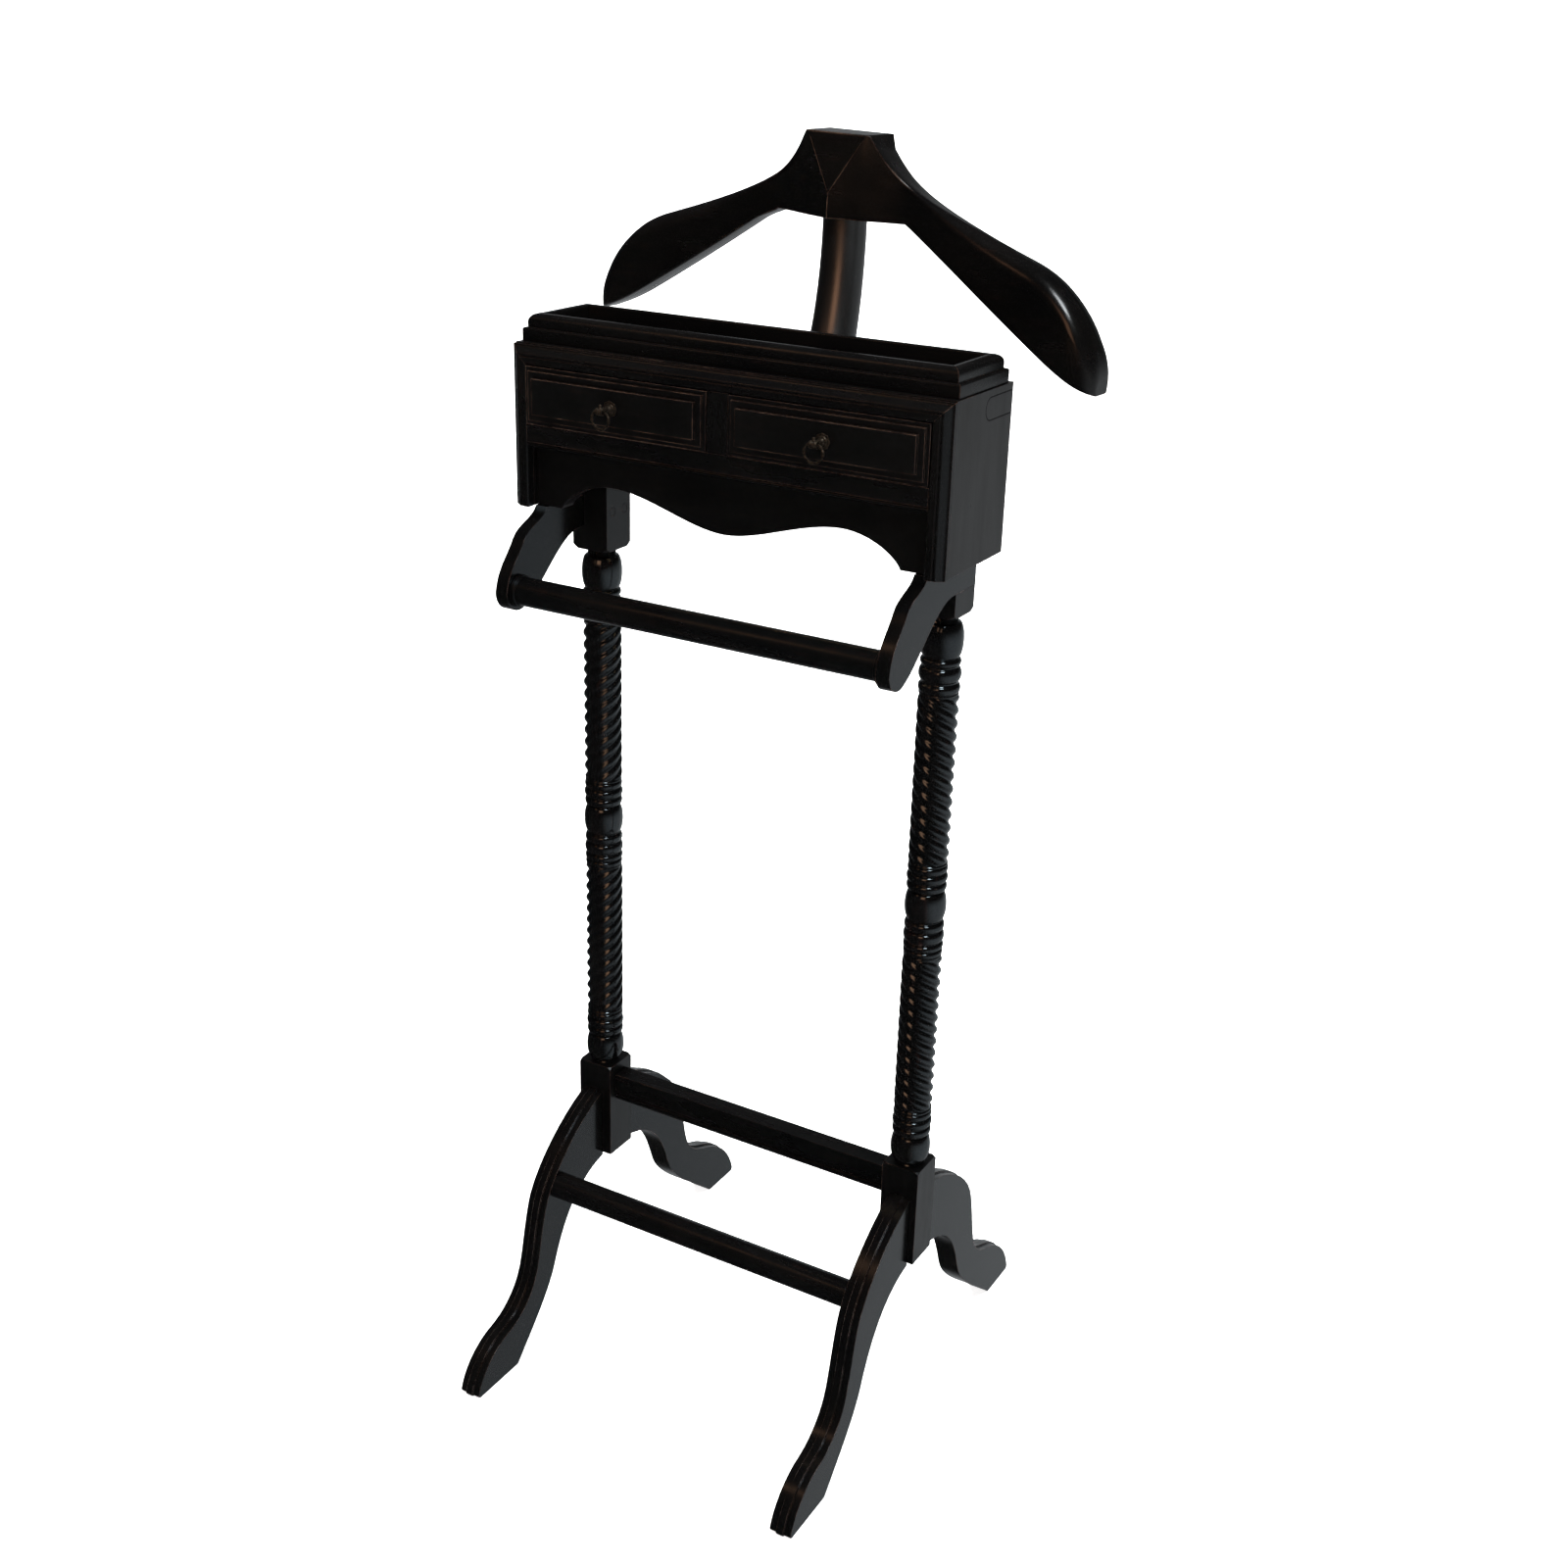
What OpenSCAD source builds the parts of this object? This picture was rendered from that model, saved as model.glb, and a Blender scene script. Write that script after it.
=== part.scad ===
// Valet stand: a two-drawer case with a tray on top, on two turned posts with sawn legs,
// a trouser bar and a shoe bar, and a carved coat hanger on a bent neck.
// Millimetres, +Z up, the drawers face -Y, and the origin is on the floor under the middle.

/* [Case] */
// Width over the side panels
case_w = 400; // [396:1:404]
// Depth of the side panels
case_d = 100; // [100:1:102]
// Height of the underside of the case above the floor
case_z = 819; // [812:1:824]
// Height of the side panels
case_h = 134.6; // [134.6:0.1:136]
// Thickness of the side panels
side_t = 16; // [15:0.5:17]
// Thickness of the back panel and the dust panel
panel_t = 10; // [8:0.5:10]

/* [Drawers] */
// Height of the drawer openings
drawer_h = 48.4; // [46:0.2:49]
// Width of the upright between the drawers
divider_w = 18.8; // [17:0.2:20]
// Radius of the drop ring's centre line
ring_r = 8; // [7:0.5:9]

/* [Posts] */
// Width of the square blocks on the posts
block_w = 35.8; // [34:0.2:37]
// Distance of each post's axis from the middle
post_x = 166.1; // [166:0.1:166.2]
// Number of strands in the rope twist
twist_starts = 5; // [4:1:6]

/* [Base] */
// Thickness of the legs
leg_t = 21; // [19:0.2:22]
// Diameter of the shoe bar
shoe_bar_d = 25; // [23:1:27]

/* [Trouser bar] */
// Diameter of the trouser bar
bar_d = 24.5; // [22:0.5:26]
// Thickness of the brackets
bracket_t = 12; // [11:0.5:13]

/* [Hanger] */
// Half of the hanger's width
hanger_half_w = 245.5; // [240:0.5:250]
// Height of the hanger's flat top above the floor
hanger_top_z = 1120.5; // [1118:0.5:1123]
// How far the hanger has turned on its tenon, in degrees
hanger_turn = 3.4; // [0:0.2:4]
// How far the hanger hangs down on the right, in degrees
hanger_sag = 1.4; // [0:0.1:1.5]
// Diameter of the neck at its top
neck_top_d = 37; // [34:0.5:38]
// Diameter of the neck at its foot
neck_foot_d = 45.5; // [40:0.5:46]

/* [Hidden] */
$fn = 64;
// Play left between a drawer and its opening
gap = 0.5;
// Small overlap that makes cuts break cleanly through a face
eps = 0.01;

// The posts stand this far in front of the middle of the footprint
post_y = -5.5;
half_w = case_w / 2;
inner_x = half_w - side_t;
front_y = post_y - 72;
back_y = front_y + case_d;
case_top_z = case_z + case_h;
back_in_y = back_y - panel_t;

// Face frame
frame_t = 8;
frame_w = 15.5;
opening_x = half_w - frame_w;
opening_top_z = case_top_z - 0.7 - frame_w;
opening_z = opening_top_z - drawer_h;
rail_h = 18;
rail_z = opening_z - rail_h;
frame_y = front_y - frame_t;

// Apron
apron_y = front_y + 4;
apron_t = 16;
apron_peak_z = case_z + 24.5;

// Tray rim
rim_w = 13.5;
rim_h = 21.8;
rim_x = half_w - 1.8;
rim_front_y = front_y + 7;
rim_back_y = back_y - 5.5;
case_top_t = 7;

// Drawers
board_t = 14;
board_y = frame_y - 0.5;
step_out = 2;
field_out = 5;
step_in = 3.5;
field_in = 9;
side_board_t = 8;
bottom_t = 3;
box_back_y = post_y + 10;
box_h = 42;
drawer_x0 = divider_w / 2 + gap;
drawer_x1 = opening_x - gap;
drawer_mid = (drawer_x0 + drawer_x1) / 2;
box_x0 = drawer_x0 + 1;
box_x1 = inner_x - 1;
box_z = opening_z + 0.3;
box_y0 = board_y + board_t;

// Drop pulls
pull_z = 913;
field_y = board_y - field_out;
plate_t = 1.2;
eye_y = field_y - 13.5;
eye_r = 3.4;
wire_r = 0.9;
pin_play = 0.07;
ring_gap_deg = 80;
ring_drop = ring_r * cos(ring_gap_deg / 2);
ring_end_x = ring_r * sin(ring_gap_deg / 2);

// Posts
block_top_z = opening_z - panel_t;
top_block_z = 769;
foot_block_z = 160;
foot_block_top = 260;
tenon_r = 8;

// Trouser bar
bar_y = -111;
bar_z = 756;
bar_tip_r = 17;
bracket_x1 = post_x + block_w / 2;
bracket_x0 = bracket_x1 - bracket_t;
bracket_bottom_z = 792;
bracket_back_y = block_w / 2;

// Base
leg_x = 168;
shoe_bar_y = -90;
shoe_bar_z = 163;
stretcher_z = 219.5;
stretcher_h = 27;
stretcher_t = 18.6;
dowel_r = 4;
screw_r = 2;

// Neck: a quarter of an ellipse that leaves the back panel level and ends upright
neck_y = post_y + 117;
neck_top_z = 1053;
neck_foot_z = 870;
neck_reach = neck_y - back_y;
neck_rise = neck_top_z - neck_foot_z;
neck_tenon_r = 10;
neck_tenon_l = 26;
// The tenon is this much smaller in radius than its hole
tenon_play = 0.8;

// Hanger
hanger_back_y = post_y + 136;
hanger_ridge_y = post_y + 87.5;
hanger_base_z = neck_top_z + 0.6;

// ---------- curves ----------

// A point on a cubic Bezier curve
function bez_at(p, t) =
    let (s = 1 - t) s * s * s * p[0] + 3 * s * s * t * p[1] + 3 * s * t * t * p[2] + t * t * t * p[3];

// The direction of travel along the curve, as a unit vector
function bez_dir(p, t) =
    let (s = 1 - t)
    let (d = s * s * (p[1] - p[0]) + 2 * s * t * (p[2] - p[1]) + t * t * (p[3] - p[2]))
    d / norm(d);

// Points along the curve without its last one, moved to the right-hand side by off
function bez(p, n, off = 0) =
    [for (i = [0 : n - 1]) let (t = i / n, d = bez_dir(p, t)) bez_at(p, t) + off * [d[1], -d[0]]];

// Points along an arc, both ends included
function arc(c, r, a0, a1, n) =
    [for (i = [0 : n]) let (a = a0 + (a1 - a0) * i / n) c + r * [cos(a), sin(a)]];

// Smooth step from 0 to 1
function ease(t) = let (u = min(1, max(0, t))) u * u * (3 - 2 * u);

// Linear mix of two values
function mix(a, b, t) = a + (b - a) * t;

// ---------- helpers ----------

module wood() {
    color([0.07, 0.065, 0.06]) children();
}

module inner_wood() {
    color([0.62, 0.48, 0.32]) children();
}

module metal() {
    color([0.55, 0.42, 0.2]) children();
}

// A block given by its lowest and highest corners
module block(lo, hi) {
    translate(lo) cube(hi - lo);
}

// Extrudes a (Y, Z) outline along X from x0 to x1
module along_x(x0, x1) {
    translate([x0, 0, 0]) rotate([90, 0, 90]) linear_extrude(x1 - x0) children();
}

// A round rod along X between x0 and x1
module rod_x(x0, x1, y, z, r) {
    translate([x0, y, z]) rotate([0, 90, 0]) cylinder(h = x1 - x0, r = r);
}

// A round rod along Y between y0 and y1
module rod_y(x, y0, y1, z, r) {
    translate([x, y0, z]) rotate([-90, 0, 0]) cylinder(h = y1 - y0, r = r);
}

module both_sides() {
    children();
    mirror([1, 0, 0]) children();
}

// ---------- neck ----------

// Centre of the neck at 0 (foot) to 1 (top), in (Y, Z)
function neck_at(t) = [back_y + neck_reach * sin(90 * t), neck_top_z - neck_rise * cos(90 * t)];
function neck_tangent(t) = let (d = [neck_reach * cos(90 * t), neck_rise * sin(90 * t)]) d / norm(d);
function neck_r(t) = mix(neck_foot_d, neck_top_d, ease(t * 0.9 + 0.1)) / 2;

neck_rings = 20;
neck_sides = 28;

module neck_sweep() {
    points = [
        for (i = [0 : neck_rings]) let (t = i / neck_rings, c = neck_at(t), d = neck_tangent(t))
        for (k = [0 : neck_sides - 1]) let (a = 360 * k / neck_sides, r = neck_r(t))
        [r * cos(a), c[0] - r * sin(a) * d[1], c[1] + r * sin(a) * d[0]]
    ];
    walls = [
        for (i = [0 : neck_rings - 1]) for (k = [0 : neck_sides - 1])
        let (a = i * neck_sides + k, b = i * neck_sides + (k + 1) % neck_sides)
        [a, b, b + neck_sides, a + neck_sides]
    ];
    foot_cap = [for (k = [neck_sides - 1 : -1 : 0]) k];
    top_cap = [for (k = [0 : neck_sides - 1]) neck_rings * neck_sides + k];
    polyhedron(points, concat(walls, [foot_cap], [top_cap]), convexity = 4);
}

module neck_post() {
    wood() {
        difference() {
            neck_sweep();
            for (x = [-9, 9]) rod_y(x, back_y - 1, back_y + 22, neck_foot_z, 3);
        }
        translate([0, neck_y, neck_top_z - 1]) cylinder(h = neck_tenon_l + 1, r = neck_tenon_r);
    }
}

module neck_cleat() {
    inner_wood() difference() {
        block([-30, back_in_y - 14, 848], [30, back_in_y, block_top_z]);
        for (x = [-9, 9]) rod_y(x, back_in_y - 15, back_in_y + 1, neck_foot_z, 3);
    }
}

module neck_bolts() {
    metal() for (x = [-9, 9]) {
        rod_y(x, back_in_y - 14, back_y + 21, neck_foot_z, 2.9);
        rod_y(x, back_in_y - 17, back_in_y - 14, neck_foot_z, 5);
    }
}

// ---------- hanger ----------

// The flat top reaches this far from the middle at the front and at the back
flat_front_x = 27.7;
flat_back_x = 31;
// The rounded end starts here
end_x = 180;
// The lower edge leaves the neck here
wing_x = 61.5;
// The front face is furthest back here
hollow_x = 64;

// Distances of the sections of the right half from the middle
hanger_xs = concat(
    [0, 7, 14, 21, flat_front_x, flat_back_x, 36, 43, 52, wing_x, 70, 82, 98, 118, 140, 162],
    [for (t = [0.25, 0.45, 0.62, 0.76, 0.87, 0.94, 0.98, 1]) mix(end_x, hanger_half_w, t)]
);

// The top edge is a straight slope that a hollow curve joins to the flat top:
// [x and depth below the top of a point on the slope, slope, rise and length of the curve]
front_edge = [64, 41.8, 0.359, 36.1, 18.6];
back_edge = [84, 53.4, 0.3075, 29, 26];

function edge_drop(x, flat_x, e) =
    x < flat_x ? 0 : max(0, e[1] + e[2] * (x - e[0]) - e[3] * exp((flat_x - x) / e[4]));
function hanger_front_top(x) = hanger_top_z - edge_drop(x, flat_front_x, front_edge);
function hanger_back_top(x) = hanger_top_z - edge_drop(x, flat_back_x, back_edge);

// How far the rounded end falls below the line of the top edge
end_drop = 60;
function hanger_fall(x) =
    let (t = max(0, (x - end_x) / (hanger_half_w - end_x))) end_drop * (1 - sqrt(max(0, 1 - t * t)));

// Height of the lower edge at the front and at the back
wing_drop = 114.8;
wing_sag = 8;
tip_lift = 6;
underside_rise = 14.4;
// From here to the end the underside comes level again
level_x = 195;
function hanger_low(x) =
    let (w = max(0, (x - wing_x) / end_x), tip = max(0, (x - 200) / 45))
    hanger_base_z - wing_drop * w - wing_sag * w * max(0, 1 - w) + tip_lift * tip ^ 2;
function hanger_back_low(x) =
    let (tilt = (1 - exp(-max(0, x - 60) / 35)) * (1 - ease((x - level_x) / (hanger_half_w - level_x))))
    hanger_low(x) + underside_rise * tilt;

// Front and back faces in plan: the front falls back flat from a ridge, goes on in a hollow
// curve, then comes forward to the end
hollow = 21.5;
function hollow_curve(x) = hanger_ridge_y + hollow * (0.55 * ease(x / hollow_x) + 0.45 * x / hollow_x);
function hanger_front(x) =
    x < flat_front_x ? mix(hanger_ridge_y, hollow_curve(flat_front_x), x / flat_front_x)
    : x < hollow_x ? hollow_curve(x)
    : hanger_ridge_y + hollow - 13.7 * ease((x - hollow_x) / 190) - 2 * (x - hollow_x) / 176;
function hanger_rear(x) = hanger_back_y - 2 * ease((x - 34) / 26) - 3.2 * ease((x - 60) / end_x);

// The triangular facet on the front slopes back from its point up to its two top corners
facet_z = 1073.7;
facet_slope = (hanger_front(flat_front_x) - hanger_ridge_y) / (hanger_top_z - facet_z);

// Least height of the end, the length and share by which it narrows, and how far the front bows out
end_h = 9;
nose_l = 26;
narrowing = 0.45;
front_bow = 0.3;

// Cross-section of the right half: (Y, Z) points round the section
function hanger_section(x) =
    let (f = hanger_front(x), b = hanger_rear(x), lo = hanger_low(x), lob = hanger_back_low(x))
    let (tf = max(lo + end_h, hanger_front_top(x) - hanger_fall(x)))
    let (tb = max(lo + end_h, hanger_back_top(x) - hanger_fall(x)))
    let (h = tf - lo, round = min(1.2 + 15 * ease((x - 40) / 120), 0.42 * h))
    let (low_r = min(1 + 4 * x / hanger_half_w, 0.2 * h))
    let (top_y = max(f, hanger_ridge_y + facet_slope * (hanger_top_z - facet_z)))
    let (crease = facet_z + (f - hanger_ridge_y) / facet_slope)
    let (bend = min(crease, mix(lo + low_r, tf - round, 0.9)))
    let (e = max(0, (x - hanger_half_w + nose_l) / nose_l))
    let (nose = 1 - narrowing * (1 - sqrt(max(0, 1 - e * e))))
    let (mid_y = mix(f, b, 0.95))
    let (pts = [
        [f, lo + low_r],
        [f - front_bow, mix(lo + low_r, bend, 0.5)],
        [f, bend],
        [top_y, tf - round],
        [top_y + 0.3 * round, tf - 0.3 * round],
        [top_y + 0.9 * round, tf],
        [b - 0.9 * round, tb],
        [b - 0.3 * round, tb - 0.3 * round],
        [b, tb - round],
        [b + 0.5, mix(lob, tb, 0.6)],
        [b, mix(lob, tb, 0.3)],
        [b - 1, lob + low_r],
        [b - 1 - low_r, lob],
        [f + low_r, lo]
    ])
    [for (p = pts) [mix(mid_y, p[0], nose), p[1]]];

module hanger_half() {
    n = 14;
    last = len(hanger_xs) - 1;
    points = [for (x = hanger_xs) for (p = hanger_section(x)) [x, p[0], p[1]]];
    walls = [
        for (i = [0 : last - 1]) for (k = [0 : n - 1])
        let (a = i * n + k, b = i * n + (k + 1) % n)
        each [[a, b, b + n], [a, b + n, a + n]]
    ];
    inner_cap = [for (k = [n - 1 : -1 : 0]) k];
    outer_cap = [for (k = [0 : n - 1]) last * n + k];
    difference() {
        polyhedron(points, concat(walls, [inner_cap], [outer_cap]), convexity = 6);
        translate([0, neck_y, hanger_base_z - 1])
            cylinder(h = neck_tenon_l + 2, r = neck_tenon_r + tenon_play);
        for (z = dowel_zs) rod_x(-1, 20, neck_y - 2, z, dowel_r);
    }
}

// The hanger has worked loose: it is turned and tipped about the top of the neck
module hanger_pose() {
    translate([0, neck_y, neck_top_z]) rotate([0, hanger_sag, -hanger_turn])
        translate([0, -neck_y, -neck_top_z]) children();
}

dowel_zs = [1090, 1106];

module hanger_right() {
    wood() hanger_pose() hanger_half();
}

module hanger_left() {
    wood() hanger_pose() mirror([1, 0, 0]) hanger_half();
}

module hanger_dowels() {
    inner_wood() hanger_pose() for (z = dowel_zs) rod_x(-19, 19, neck_y - 2, z, dowel_r - 0.05);
}

// ---------- case ----------

module case_side() {
    difference() {
        block([inner_x, front_y, case_z], [half_w, back_y, case_top_z]);
        for (z = case_screw_zs) rod_x(inner_x - 1, inner_x + 10, post_y, z, screw_r);
    }
}

case_screw_zs = [835, 862];

module case_side_right() {
    wood() case_side();
}

module case_side_left() {
    wood() mirror([1, 0, 0]) case_side();
}

module case_back() {
    wood() difference() {
        block([-inner_x, back_in_y, case_z], [inner_x, back_y, case_top_z]);
        for (x = [-9, 9]) rod_y(x, back_in_y - 1, back_y + 1, neck_foot_z, 3);
    }
}

module dust_panel() {
    inner_wood() block([-inner_x, front_y, block_top_z], [inner_x, back_in_y, opening_z]);
}

module case_top() {
    wood() block(
        [-inner_x, front_y, case_top_z - case_top_t],
        [inner_x, back_in_y, case_top_z]
    );
}

module case_screws() {
    metal() both_sides() for (z = case_screw_zs) {
        rod_x(post_x + 6, inner_x + 9.9, post_y, z, screw_r - 0.05);
        rod_x(post_x + 3, post_x + 6, post_y, z, 3.9);
    }
}

// ---------- tray rim ----------

// Section of the rim: first value is the distance out from the tray, second is the height
function rim_outline() = concat(
    [[0, 0], [rim_w, 0], [rim_w, rim_h - 12.6]],
    arc([rim_w - 1.6, rim_h - 12.6], 1.6, 0, 90, 4),
    [[rim_w - 3.2, rim_h - 11]],
    arc([rim_w - 9.7, rim_h - 6.5], 6.5, 0, 90, 8),
    arc([1.2, rim_h - 1.2], 1.2, 90, 180, 3)
);

// One side of the rim, half length l at its outer edge, with mitred ends; the tray is towards +Y
module rim_side(l) {
    intersection() {
        translate([-l, 0, 0]) rotate([90, 0, 90]) linear_extrude(2 * l)
            polygon([for (p = rim_outline()) [rim_w - p[0], p[1]]]);
        translate([0, 0, -1]) linear_extrude(rim_h + 2)
            polygon([[-l, 0], [l, 0], [l - rim_w, rim_w], [rim_w - l, rim_w]]);
    }
}

rim_mid_y = (rim_front_y + rim_back_y) / 2;
rim_half_d = (rim_back_y - rim_front_y) / 2;

module rim_front() {
    wood() translate([0, rim_front_y, case_top_z]) rim_side(rim_x);
}

module rim_back() {
    wood() translate([0, rim_back_y, case_top_z]) mirror([0, 1, 0]) rim_side(rim_x);
}

module rim_right() {
    wood() translate([rim_x, rim_mid_y, case_top_z]) rotate([0, 0, 90]) rim_side(rim_half_d);
}

module rim_left() {
    wood() translate([-rim_x, rim_mid_y, case_top_z]) rotate([0, 0, -90]) rim_side(rim_half_d);
}

// ---------- face frame ----------

// Section of the frame moulding: distance out from the opening, and how far it stands forward
function frame_outline() = concat(
    [[0, 0], [0, frame_t - 0.8], [0.8, frame_t], [6, frame_t], [6.4, frame_t - 0.9]],
    arc([8.2, frame_t - 2.2], 1.8, 135, 20, 4),
    arc([frame_w + 0.6, frame_t - 0.6], 4.6, 215, 262, 5),
    [[frame_w, frame_t - 5.6], [frame_w, 0]]
);

// The moulding along X from x0 to x1, its opening side at z = 0 and its back on y = 0
module frame_strip(x0, x1) {
    translate([x0, 0, 0]) rotate([90, 0, 90]) linear_extrude(x1 - x0)
        polygon([for (p = frame_outline()) [-p[1], p[0]]]);
}

module top_rail() {
    wood() intersection() {
        translate([0, front_y, opening_top_z]) frame_strip(-half_w, half_w);
        translate([0, 0, opening_top_z]) rotate([90, 0, 0]) translate([0, 0, -front_y - 1])
            linear_extrude(frame_t + 2) polygon([
                [-opening_x, 0], [opening_x, 0], [half_w, frame_w], [-half_w, frame_w]
            ]);
    }
}

module stile() {
    low = case_z - 0.4;
    intersection() {
        translate([opening_x, front_y, 0]) rotate([0, 90, 0])
            frame_strip(-case_top_z, -low);
        translate([opening_x, 0, 0]) rotate([90, 0, 0]) translate([0, 0, -front_y - 1])
            linear_extrude(frame_t + 2) polygon([
                [0, low], [frame_w, low], [frame_w, opening_top_z + frame_w], [0, opening_top_z]
            ]);
    }
}

module stile_right() {
    wood() stile();
}

module stile_left() {
    wood() mirror([1, 0, 0]) stile();
}

// The rail under the drawers, with a small bead along its lower edge
module drawer_rail() {
    bead_r = 1.3;
    wood() {
        block([-opening_x, frame_y, rail_z + 2 * bead_r + 0.8], [opening_x, front_y, opening_z]);
        block([-opening_x, frame_y + 1.2, rail_z], [opening_x, front_y, rail_z + 2 * bead_r + 0.8]);
        rod_x(-opening_x, opening_x, frame_y + bead_r, rail_z + bead_r, bead_r);
    }
}

module drawer_divider() {
    wood() block([-divider_w / 2, frame_y, opening_z], [divider_w / 2, front_y, opening_top_z]);
}

// ---------- apron ----------

module apron() {
    edge = [[158, case_z + 1.5], [150, apron_peak_z - 11], [128, apron_peak_z], [107, apron_peak_z]];
    dip = [[107, apron_peak_z], [72, apron_peak_z], [34, case_z + 2.8], [0, case_z + 2.4]];
    right = concat([[inner_x, rail_z], [inner_x, case_z], [158, case_z]], bez(edge, 12), bez(dip, 16));
    left = [for (i = [len(right) - 1 : -1 : 0]) [-right[i][0], right[i][1]]];
    wood() {
        translate([0, apron_y + apron_t, 0]) rotate([90, 0, 0]) linear_extrude(apron_t)
            polygon(concat(right, [dip[3]], left));
        block([-inner_x, front_y, rail_z], [inner_x, apron_y + apron_t, block_top_z]);
    }
}

module drawer_partition() {
    inner_wood() block([-6, front_y, opening_z], [6, back_in_y, case_top_z - case_top_t]);
}

module drawer_stops() {
    inner_wood() for (s = [-1, 1])
        translate([s * drawer_mid, 0, 0])
            block([-12, box_back_y + 0.4, opening_z], [12, back_in_y, opening_z + 16]);
}

// ---------- drawers, drawn on the right ----------

module drawer_front() {
    z0 = opening_z + gap;
    z1 = opening_top_z - gap;
    difference() {
        union() {
            block([drawer_x0, board_y, z0], [drawer_x1, board_y + board_t, z1]);
            block(
                [drawer_x0 + step_in, board_y - step_out, z0 + step_in],
                [drawer_x1 - step_in, board_y + 1, z1 - step_in]
            );
            block(
                [drawer_x0 + field_in, field_y, z0 + field_in],
                [drawer_x1 - field_in, board_y + 1, z1 - field_in]
            );
        }
        rod_y(drawer_mid, field_y - 1, board_y + board_t + 1, pull_z, 2.1);
        block(
            [box_x0 + 4, board_y + board_t - 5, box_z + 4],
            [box_x1 - 4, board_y + board_t + 1, box_z + 4 + bottom_t]
        );
    }
}

// A drawer side from x0 to x1; the groove for the bottom is cut on the inner face
module drawer_side(x0, groove_x) {
    difference() {
        block([x0, box_y0, box_z], [x0 + side_board_t, box_back_y, box_z + box_h]);
        block(
            [groove_x, box_y0 - 1, box_z + 4],
            [groove_x + 4, box_back_y + 1, box_z + 4 + bottom_t]
        );
    }
}

module drawer_side_outer() {
    drawer_side(box_x1 - side_board_t, box_x1 - side_board_t);
}

module drawer_side_inner() {
    drawer_side(box_x0, box_x0 + side_board_t - 4);
}

module drawer_back() {
    block(
        [box_x0 + side_board_t, box_back_y - side_board_t, box_z + 4 + bottom_t],
        [box_x1 - side_board_t, box_back_y, box_z + box_h]
    );
}

module drawer_bottom() {
    block(
        [box_x0 + 4, box_y0 - 5, box_z + 4],
        [box_x1 - 4, box_back_y, box_z + 4 + bottom_t]
    );
}

// ---------- drop pulls, drawn on the right ----------

module pull_plate() {
    difference() {
        union() {
            rod_y(drawer_mid, field_y - plate_t, field_y, pull_z, 6.5);
            rod_y(drawer_mid, field_y - plate_t - 1, field_y - plate_t + eps, pull_z, 4.4);
        }
        rod_y(drawer_mid, field_y - plate_t - 2, field_y + 1, pull_z, 2.1);
    }
}

module pull_post() {
    difference() {
        union() {
            rod_y(drawer_mid, eye_y, board_y + board_t + 6, pull_z, 2);
            rod_x(drawer_mid - eye_r, drawer_mid + eye_r, eye_y, pull_z, eye_r);
        }
        rod_x(drawer_mid - 5, drawer_mid + 5, eye_y, pull_z, wire_r + pin_play);
    }
}

module pull_nut() {
    difference() {
        translate([drawer_mid, box_y0 + 3.5, pull_z]) rotate([90, 0, 0])
            cylinder(h = 3.5, r = 4.2, $fn = 6);
        rod_y(drawer_mid, box_y0 - 1, box_y0 + 5, pull_z, 2.05);
    }
}

// An open ring that hangs in the eye on two short pins
module pull_ring() {
    translate([drawer_mid, eye_y, pull_z]) {
        translate([0, 0, -ring_drop]) rotate([90, 0, 0]) rotate([0, 0, 90 + ring_gap_deg / 2])
            rotate_extrude(angle = 360 - ring_gap_deg) translate([ring_r, 0]) circle(r = wire_r, $fn = 32);
        for (s = [-1, 1]) {
            translate([s * ring_end_x, 0, 0]) sphere(r = wire_r + 0.25, $fn = 32);
        }
        rod_x(-ring_end_x, ring_end_x, 0, 0, wire_r);
    }
}

// ---------- trouser bar ----------

// Outline in (Y, Z), measured from the posts' axes
function bracket_outline() = concat(
    [[bracket_back_y, bracket_bottom_z], [bracket_back_y, case_z], [-70, case_z]],
    bez([[-70, case_z], [-77, 808], [-96, 808], [-103, 797]], 8),
    bez([[-103, 797], [-110, 785], [-125, 776], [bar_y - bar_tip_r, bar_z]], 8),
    arc([bar_y, bar_z], bar_tip_r, 180, 295, 14),
    bez([[-103.8, 740.6], [-78, 751], [-54, 790], [-24, bracket_bottom_z]], 12),
    [[-24, bracket_bottom_z]]
);

module bracket() {
    translate([0, post_y, 0]) difference() {
        along_x(bracket_x0, bracket_x1) polygon(bracket_outline());
        rod_x(bracket_x0 - 1, bracket_x0 + 8, bar_y, bar_z, tenon_r);
        for (y = bracket_screw_ys) rod_x(bracket_x0 - 1, bracket_x0 + 8, y, bracket_screw_z, screw_r);
    }
}

bracket_screw_ys = [-9, 9];
bracket_screw_z = 805.5;

module bracket_right() {
    wood() bracket();
}

module bracket_left() {
    wood() mirror([1, 0, 0]) bracket();
}

module trouser_bar() {
    collar = 1.5;
    wood() translate([0, post_y, 0]) {
        rod_x(-bracket_x0, bracket_x0, bar_y, bar_z, bar_d / 2);
        both_sides() {
            rod_x(bracket_x0 - 4, bracket_x0, bar_y, bar_z, bar_d / 2 + collar);
            rod_x(bracket_x0 - 1, bracket_x0 + 7.5, bar_y, bar_z, tenon_r);
        }
    }
}

module bracket_screws() {
    metal() translate([0, post_y, 0]) both_sides() for (y = bracket_screw_ys) {
        rod_x(bracket_x0 - 12, bracket_x0 + 7.9, y, bracket_screw_z, screw_r - 0.05);
        rod_x(bracket_x0 - 15, bracket_x0 - 12, y, bracket_screw_z, 3.9);
    }
}

// ---------- posts ----------

// A swelling in the turned profile between z0 and z1, from radius base up to radius top
function swell(z0, z1, base, top, n) =
    [for (i = [0 : n]) let (a = 180 * i / n) [base + (top - base) * sin(a), mix(z0, z1, (1 - cos(a)) / 2)]];

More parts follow.
